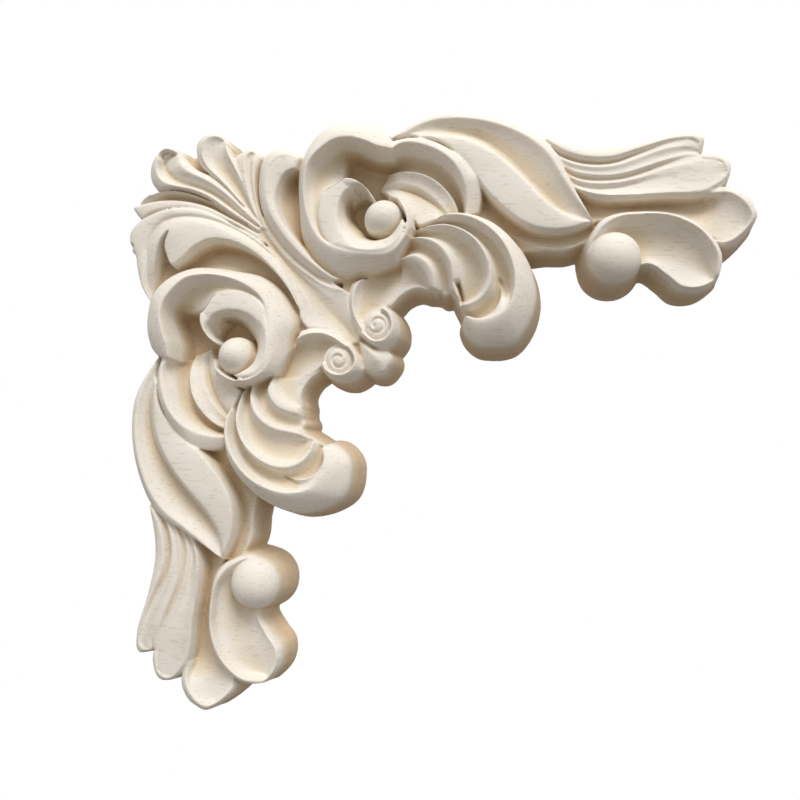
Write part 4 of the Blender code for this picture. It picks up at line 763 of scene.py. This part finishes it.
def solid(points, faces):
    """Closed body: the walled mesh thinned where it is flat, then cut at the wall plane and backed."""
    mesh = bpy.data.meshes.new("carved_side")
    places = np.stack([WINDOW_U + points[:, 0] * GRID_STEP - CENTRE, -points[:, 2],
                       CENTRE - WINDOW_V - points[:, 1] * GRID_STEP], -1) * METRE
    mesh.from_pydata(places.tolist(), [], faces)
    mesh.calc_loop_triangles()
    rough = bpy.data.objects.new("rough", mesh)
    bpy.context.scene.collection.objects.link(rough)
    fewer = rough.modifiers.new("fewer", "DECIMATE")
    fewer.ratio = min(1.0, TRIANGLES / len(mesh.loop_triangles))
    graph = bpy.context.evaluated_depsgraph_get()
    thin = bpy.data.meshes.new_from_object(rough.evaluated_get(graph))
    bpy.data.objects.remove(rough)
    body = bmesh.new()
    body.from_mesh(thin)
    whole = body.verts[:] + body.edges[:] + body.faces[:]
    bmesh.ops.bisect_plane(body, geom=whole, plane_co=(0, 0, 0), plane_no=(0, 1, 0), clear_outer=True)
    rim = [edge for edge in body.edges if len(edge.link_faces) == 1]
    bmesh.ops.remove_doubles(body, verts=list({v for e in rim for v in e.verts}), dist=WELD * METRE)
    rim = [edge for edge in body.edges if len(edge.link_faces) == 1]
    bmesh.ops.triangle_fill(body, edges=rim, use_beauty=True, use_dissolve=False, normal=(0, 1, 0))
    bmesh.ops.triangulate(body, faces=body.faces[:])
    bmesh.ops.recalc_face_normals(body, faces=body.faces[:])
    body.to_mesh(thin)
    body.free()
    return thin


def sample(field, mesh):
    """A grid field read off at the vertices of the mesh."""
    place = np.empty(len(mesh.vertices) * 3)
    mesh.vertices.foreach_get("co", place)
    place = place.reshape(-1, 3) / METRE
    last = len(field) - 1 - TINY
    x = np.clip((place[:, 0] + CENTRE - WINDOW_U) / GRID_STEP, 0, last)
    y = np.clip((CENTRE - place[:, 2] - WINDOW_V) / GRID_STEP, 0, last)
    column, row = x.astype(int), y.astype(int)
    right, down = x - column, y - row
    upper = field[row, column] * (1 - right) + field[row, column + 1] * right
    lower = field[row + 1, column] * (1 - right) + field[row + 1, column + 1] * right
    return upper * (1 - down) + lower * down


def carved_mesh():
    """The whole visible piece, with the depth of its hollows kept for the painted shade in its colour."""
    relief = carve()
    top, cover = softened(relief, TOOL_RADIUS)
    depth = painted_shade_depth(top, cover, relief.step)
    mesh = solid(*walled(*sheet(top, cover), lowest=BELOW_BACK))
    # painted shade: how far each vertex lies down a hollow, read by the wood colour
    painted_shade_layer = mesh.attributes.new("hollow", "FLOAT", "POINT")
    painted_shade_layer.data.foreach_set("value", sample(depth, mesh).astype(np.float32))
    return mesh


def keep_inside(mesh, low, high):
    """Hold the fine mesh inside the box of the solid that it stands for."""
    place = np.empty(len(mesh.vertices) * 3)
    mesh.vertices.foreach_get("co", place)
    place = np.clip(place.reshape(-1, 3), np.array(low), np.array(high))
    mesh.vertices.foreach_set("co", place.ravel())
    mesh.update()


def link(tree, source, target):
    tree.links.new(source, target)


def ramp(tree, value, *stops):
    """Colour that changes with a value, through the given stops."""
    node = tree.nodes.new("ShaderNodeValToRGB")
    while len(node.color_ramp.elements) < len(stops):
        node.color_ramp.elements.new(1.0)
    for element, (place, colour) in zip(node.color_ramp.elements, stops):
        element.position = place
        element.color = (*colour, 1.0)
    link(tree, value, node.inputs["Fac"])
    return node.outputs["Color"]


def pale_wood():
    """Raw pale wood with painted shade, darker and warmer in the hollows and none on the back; fine pores
    along X, matt.
    """
    material = bpy.data.materials.new("raw_pale_wood")
    material.use_nodes = True
    tree = material.node_tree
    shader = tree.nodes["Principled BSDF"]
    shader.inputs["Roughness"].default_value = ROUGHNESS
    shader.inputs["Metallic"].default_value = 0.0
    shader.inputs["Specular IOR Level"].default_value = GLOSS
    place = tree.nodes.new("ShaderNodeTexCoord").outputs["Object"]

    def stretched(scale, detail, name):
        mapping = tree.nodes.new("ShaderNodeMapping")
        mapping.inputs["Scale"].default_value = scale
        link(tree, place, mapping.inputs["Vector"])
        noise = tree.nodes.new("ShaderNodeTexNoise")
        noise.name = name
        noise.inputs["Scale"].default_value = 1.0
        noise.inputs["Detail"].default_value = detail
        link(tree, mapping.outputs["Vector"], noise.inputs["Vector"])
        return noise.outputs["Fac"]

    def multiplied(first, second):
        node = tree.nodes.new("ShaderNodeMix")
        node.data_type = "RGBA"
        node.blend_type = "MULTIPLY"
        node.inputs["Factor"].default_value = 1.0
        link(tree, first, node.inputs["A"])
        link(tree, second, node.inputs["B"])
        return node.outputs["Result"]

    def computed(operation, *values):
        node = tree.nodes.new("ShaderNodeMath")
        node.operation = operation
        for value, socket in zip(values, node.inputs):
            if isinstance(value, float):
                socket.default_value = value
            else:
                link(tree, value, socket)
        return node.outputs["Value"]

    # painted shade: the colour darkens and warms the further down a hollow a place lies, but not on the
    # flat back
    hollow = tree.nodes.new("ShaderNodeAttribute")
    hollow.attribute_name = "hollow"
    axes = tree.nodes.new("ShaderNodeSeparateXYZ")
    link(tree, place, axes.inputs["Vector"])
    in_front = computed("LESS_THAN", axes.outputs["Y"], -BACK_SKIN * METRE)
    depth = computed("MULTIPLY", hollow.outputs["Fac"], in_front)
    painted_shade_tone = ramp(tree, depth, RIDGE, SLOPE_SHADE, HOLLOW_SHADE)
    bands = ramp(tree, stretched(GROWTH_SCALE, 3.0, "growth"), GROWTH_DARK, GROWTH_LIGHT)
    pores = ramp(tree, stretched(PORE_SCALE, 1.0, "pores"), PORE_DARK, PORE_LIGHT)
    colour = multiplied(multiplied(painted_shade_tone, bands), pores)
    link(tree, colour, shader.inputs["Base Color"])
    grain = computed("MULTIPLY_ADD", stretched(FUZZ_SCALE, 3.0, "fuzz"), FUZZ_SHARE, pores)
    bump = tree.nodes.new("ShaderNodeBump")
    bump.inputs["Strength"].default_value = GRAIN_STRENGTH
    bump.inputs["Distance"].default_value = GRAIN_DEPTH * METRE
    link(tree, grain, bump.inputs["Height"])
    link(tree, bump.outputs["Normal"], shader.inputs["Normal"])
    return material


def key_light():
    """Large round lamp above, a little right and in front."""
    lamp = bpy.data.lights.new("key", "AREA")
    lamp.shape = "DISK"
    lamp.size = KEY_SIZE * METRE
    lamp.energy = KEY_POWER
    lamp.color = KEY_COLOUR
    item = bpy.data.objects.new("key", lamp)
    item.location = Vector(KEY_PLACE) * METRE
    item.rotation_euler = (Vector(KEY_AIM) * METRE - item.location).to_track_quat("-Z", "Y").to_euler()
    bpy.context.scene.collection.objects.link(item)


def pale_floor(low):
    """Plain floor far below the hanging piece."""
    bpy.ops.mesh.primitive_plane_add(size=1.0)
    floor = bpy.context.object
    floor.name = "floor"
    floor.scale = (FLOOR_SIZE[0] * METRE, FLOOR_SIZE[1] * METRE, 1.0)
    floor.location = (0.0, 0.0, low[2] - FLOOR_DROP * METRE)
    paint = bpy.data.materials.new("pale_floor")
    paint.use_nodes = True
    shader = paint.node_tree.nodes["Principled BSDF"]
    shader.inputs["Base Color"].default_value = (*FLOOR_COLOUR, 1.0)
    shader.inputs["Roughness"].default_value = FLOOR_ROUGHNESS
    floor.data.materials.append(paint)


def pale_room():
    """Surroundings that light the piece from above and less from below, in front of white."""
    world = bpy.data.worlds.new("pale_room")
    bpy.context.scene.world = world
    world.use_nodes = True
    tree = world.node_tree
    way = tree.nodes.new("ShaderNodeSeparateXYZ")
    link(tree, tree.nodes.new("ShaderNodeTexCoord").outputs["Generated"], way.inputs["Vector"])
    level = tree.nodes.new("ShaderNodeMapRange")
    level.inputs["From Min"].default_value = -1.0
    link(tree, way.outputs["Z"], level.inputs["Value"])
    light = ramp(tree, level.outputs["Result"], (0.0, ROOM_BELOW), (1.0, ROOM_ABOVE))
    room = tree.nodes["Background"]
    link(tree, light, room.inputs["Color"])
    backdrop = tree.nodes.new("ShaderNodeBackground")
    backdrop.inputs["Color"].default_value = (*WHITE, 1.0)
    choice = tree.nodes.new("ShaderNodeMixShader")
    link(tree, tree.nodes.new("ShaderNodeLightPath").outputs["Is Camera Ray"], choice.inputs["Fac"])
    link(tree, room.outputs["Background"], choice.inputs[1])
    link(tree, backdrop.outputs["Background"], choice.inputs[2])
    link(tree, choice.outputs["Shader"], tree.nodes["World Output"].inputs["Surface"])


def front_camera():
    """Camera at the eye of the front view."""
    lens = bpy.data.cameras.new("camera")
    lens.sensor_width = SENSOR
    lens.lens = LENS
    lens.clip_start = NEAREST * METRE
    camera = bpy.data.objects.new("camera", lens)
    camera.location = Vector(VIEW_PLACE) * METRE
    camera.rotation_euler = Euler([math.radians(angle) for angle in VIEW_TURN], "XYZ")
    bpy.context.scene.collection.objects.link(camera)
    bpy.context.scene.camera = camera


def studio(low):
    """Floor, light, surroundings and camera, for a piece whose lowest corner is given."""
    pale_floor(low)
    key_light()
    pale_room()
    front_camera()
    bpy.context.scene.view_settings.view_transform = "Standard"


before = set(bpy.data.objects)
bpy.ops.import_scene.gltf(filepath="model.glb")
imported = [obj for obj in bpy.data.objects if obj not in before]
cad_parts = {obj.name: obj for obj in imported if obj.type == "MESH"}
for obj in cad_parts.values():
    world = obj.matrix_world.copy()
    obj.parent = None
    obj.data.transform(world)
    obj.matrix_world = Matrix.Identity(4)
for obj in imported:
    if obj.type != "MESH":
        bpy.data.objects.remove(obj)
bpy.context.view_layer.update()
mesh = carved_mesh()
keep_inside(mesh, *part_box("corner_applique"))
mesh.shade_smooth()
mesh.set_sharp_from_angle(angle=math.radians(SHARP_ANGLE))
mesh.materials.clear()
mesh.materials.append(pale_wood())
piece = bpy.data.objects.new("carved_applique", mesh)
bpy.context.scene.collection.objects.link(piece)
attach(piece, "root")
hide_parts("corner_applique")
studio(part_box("corner_applique")[0])
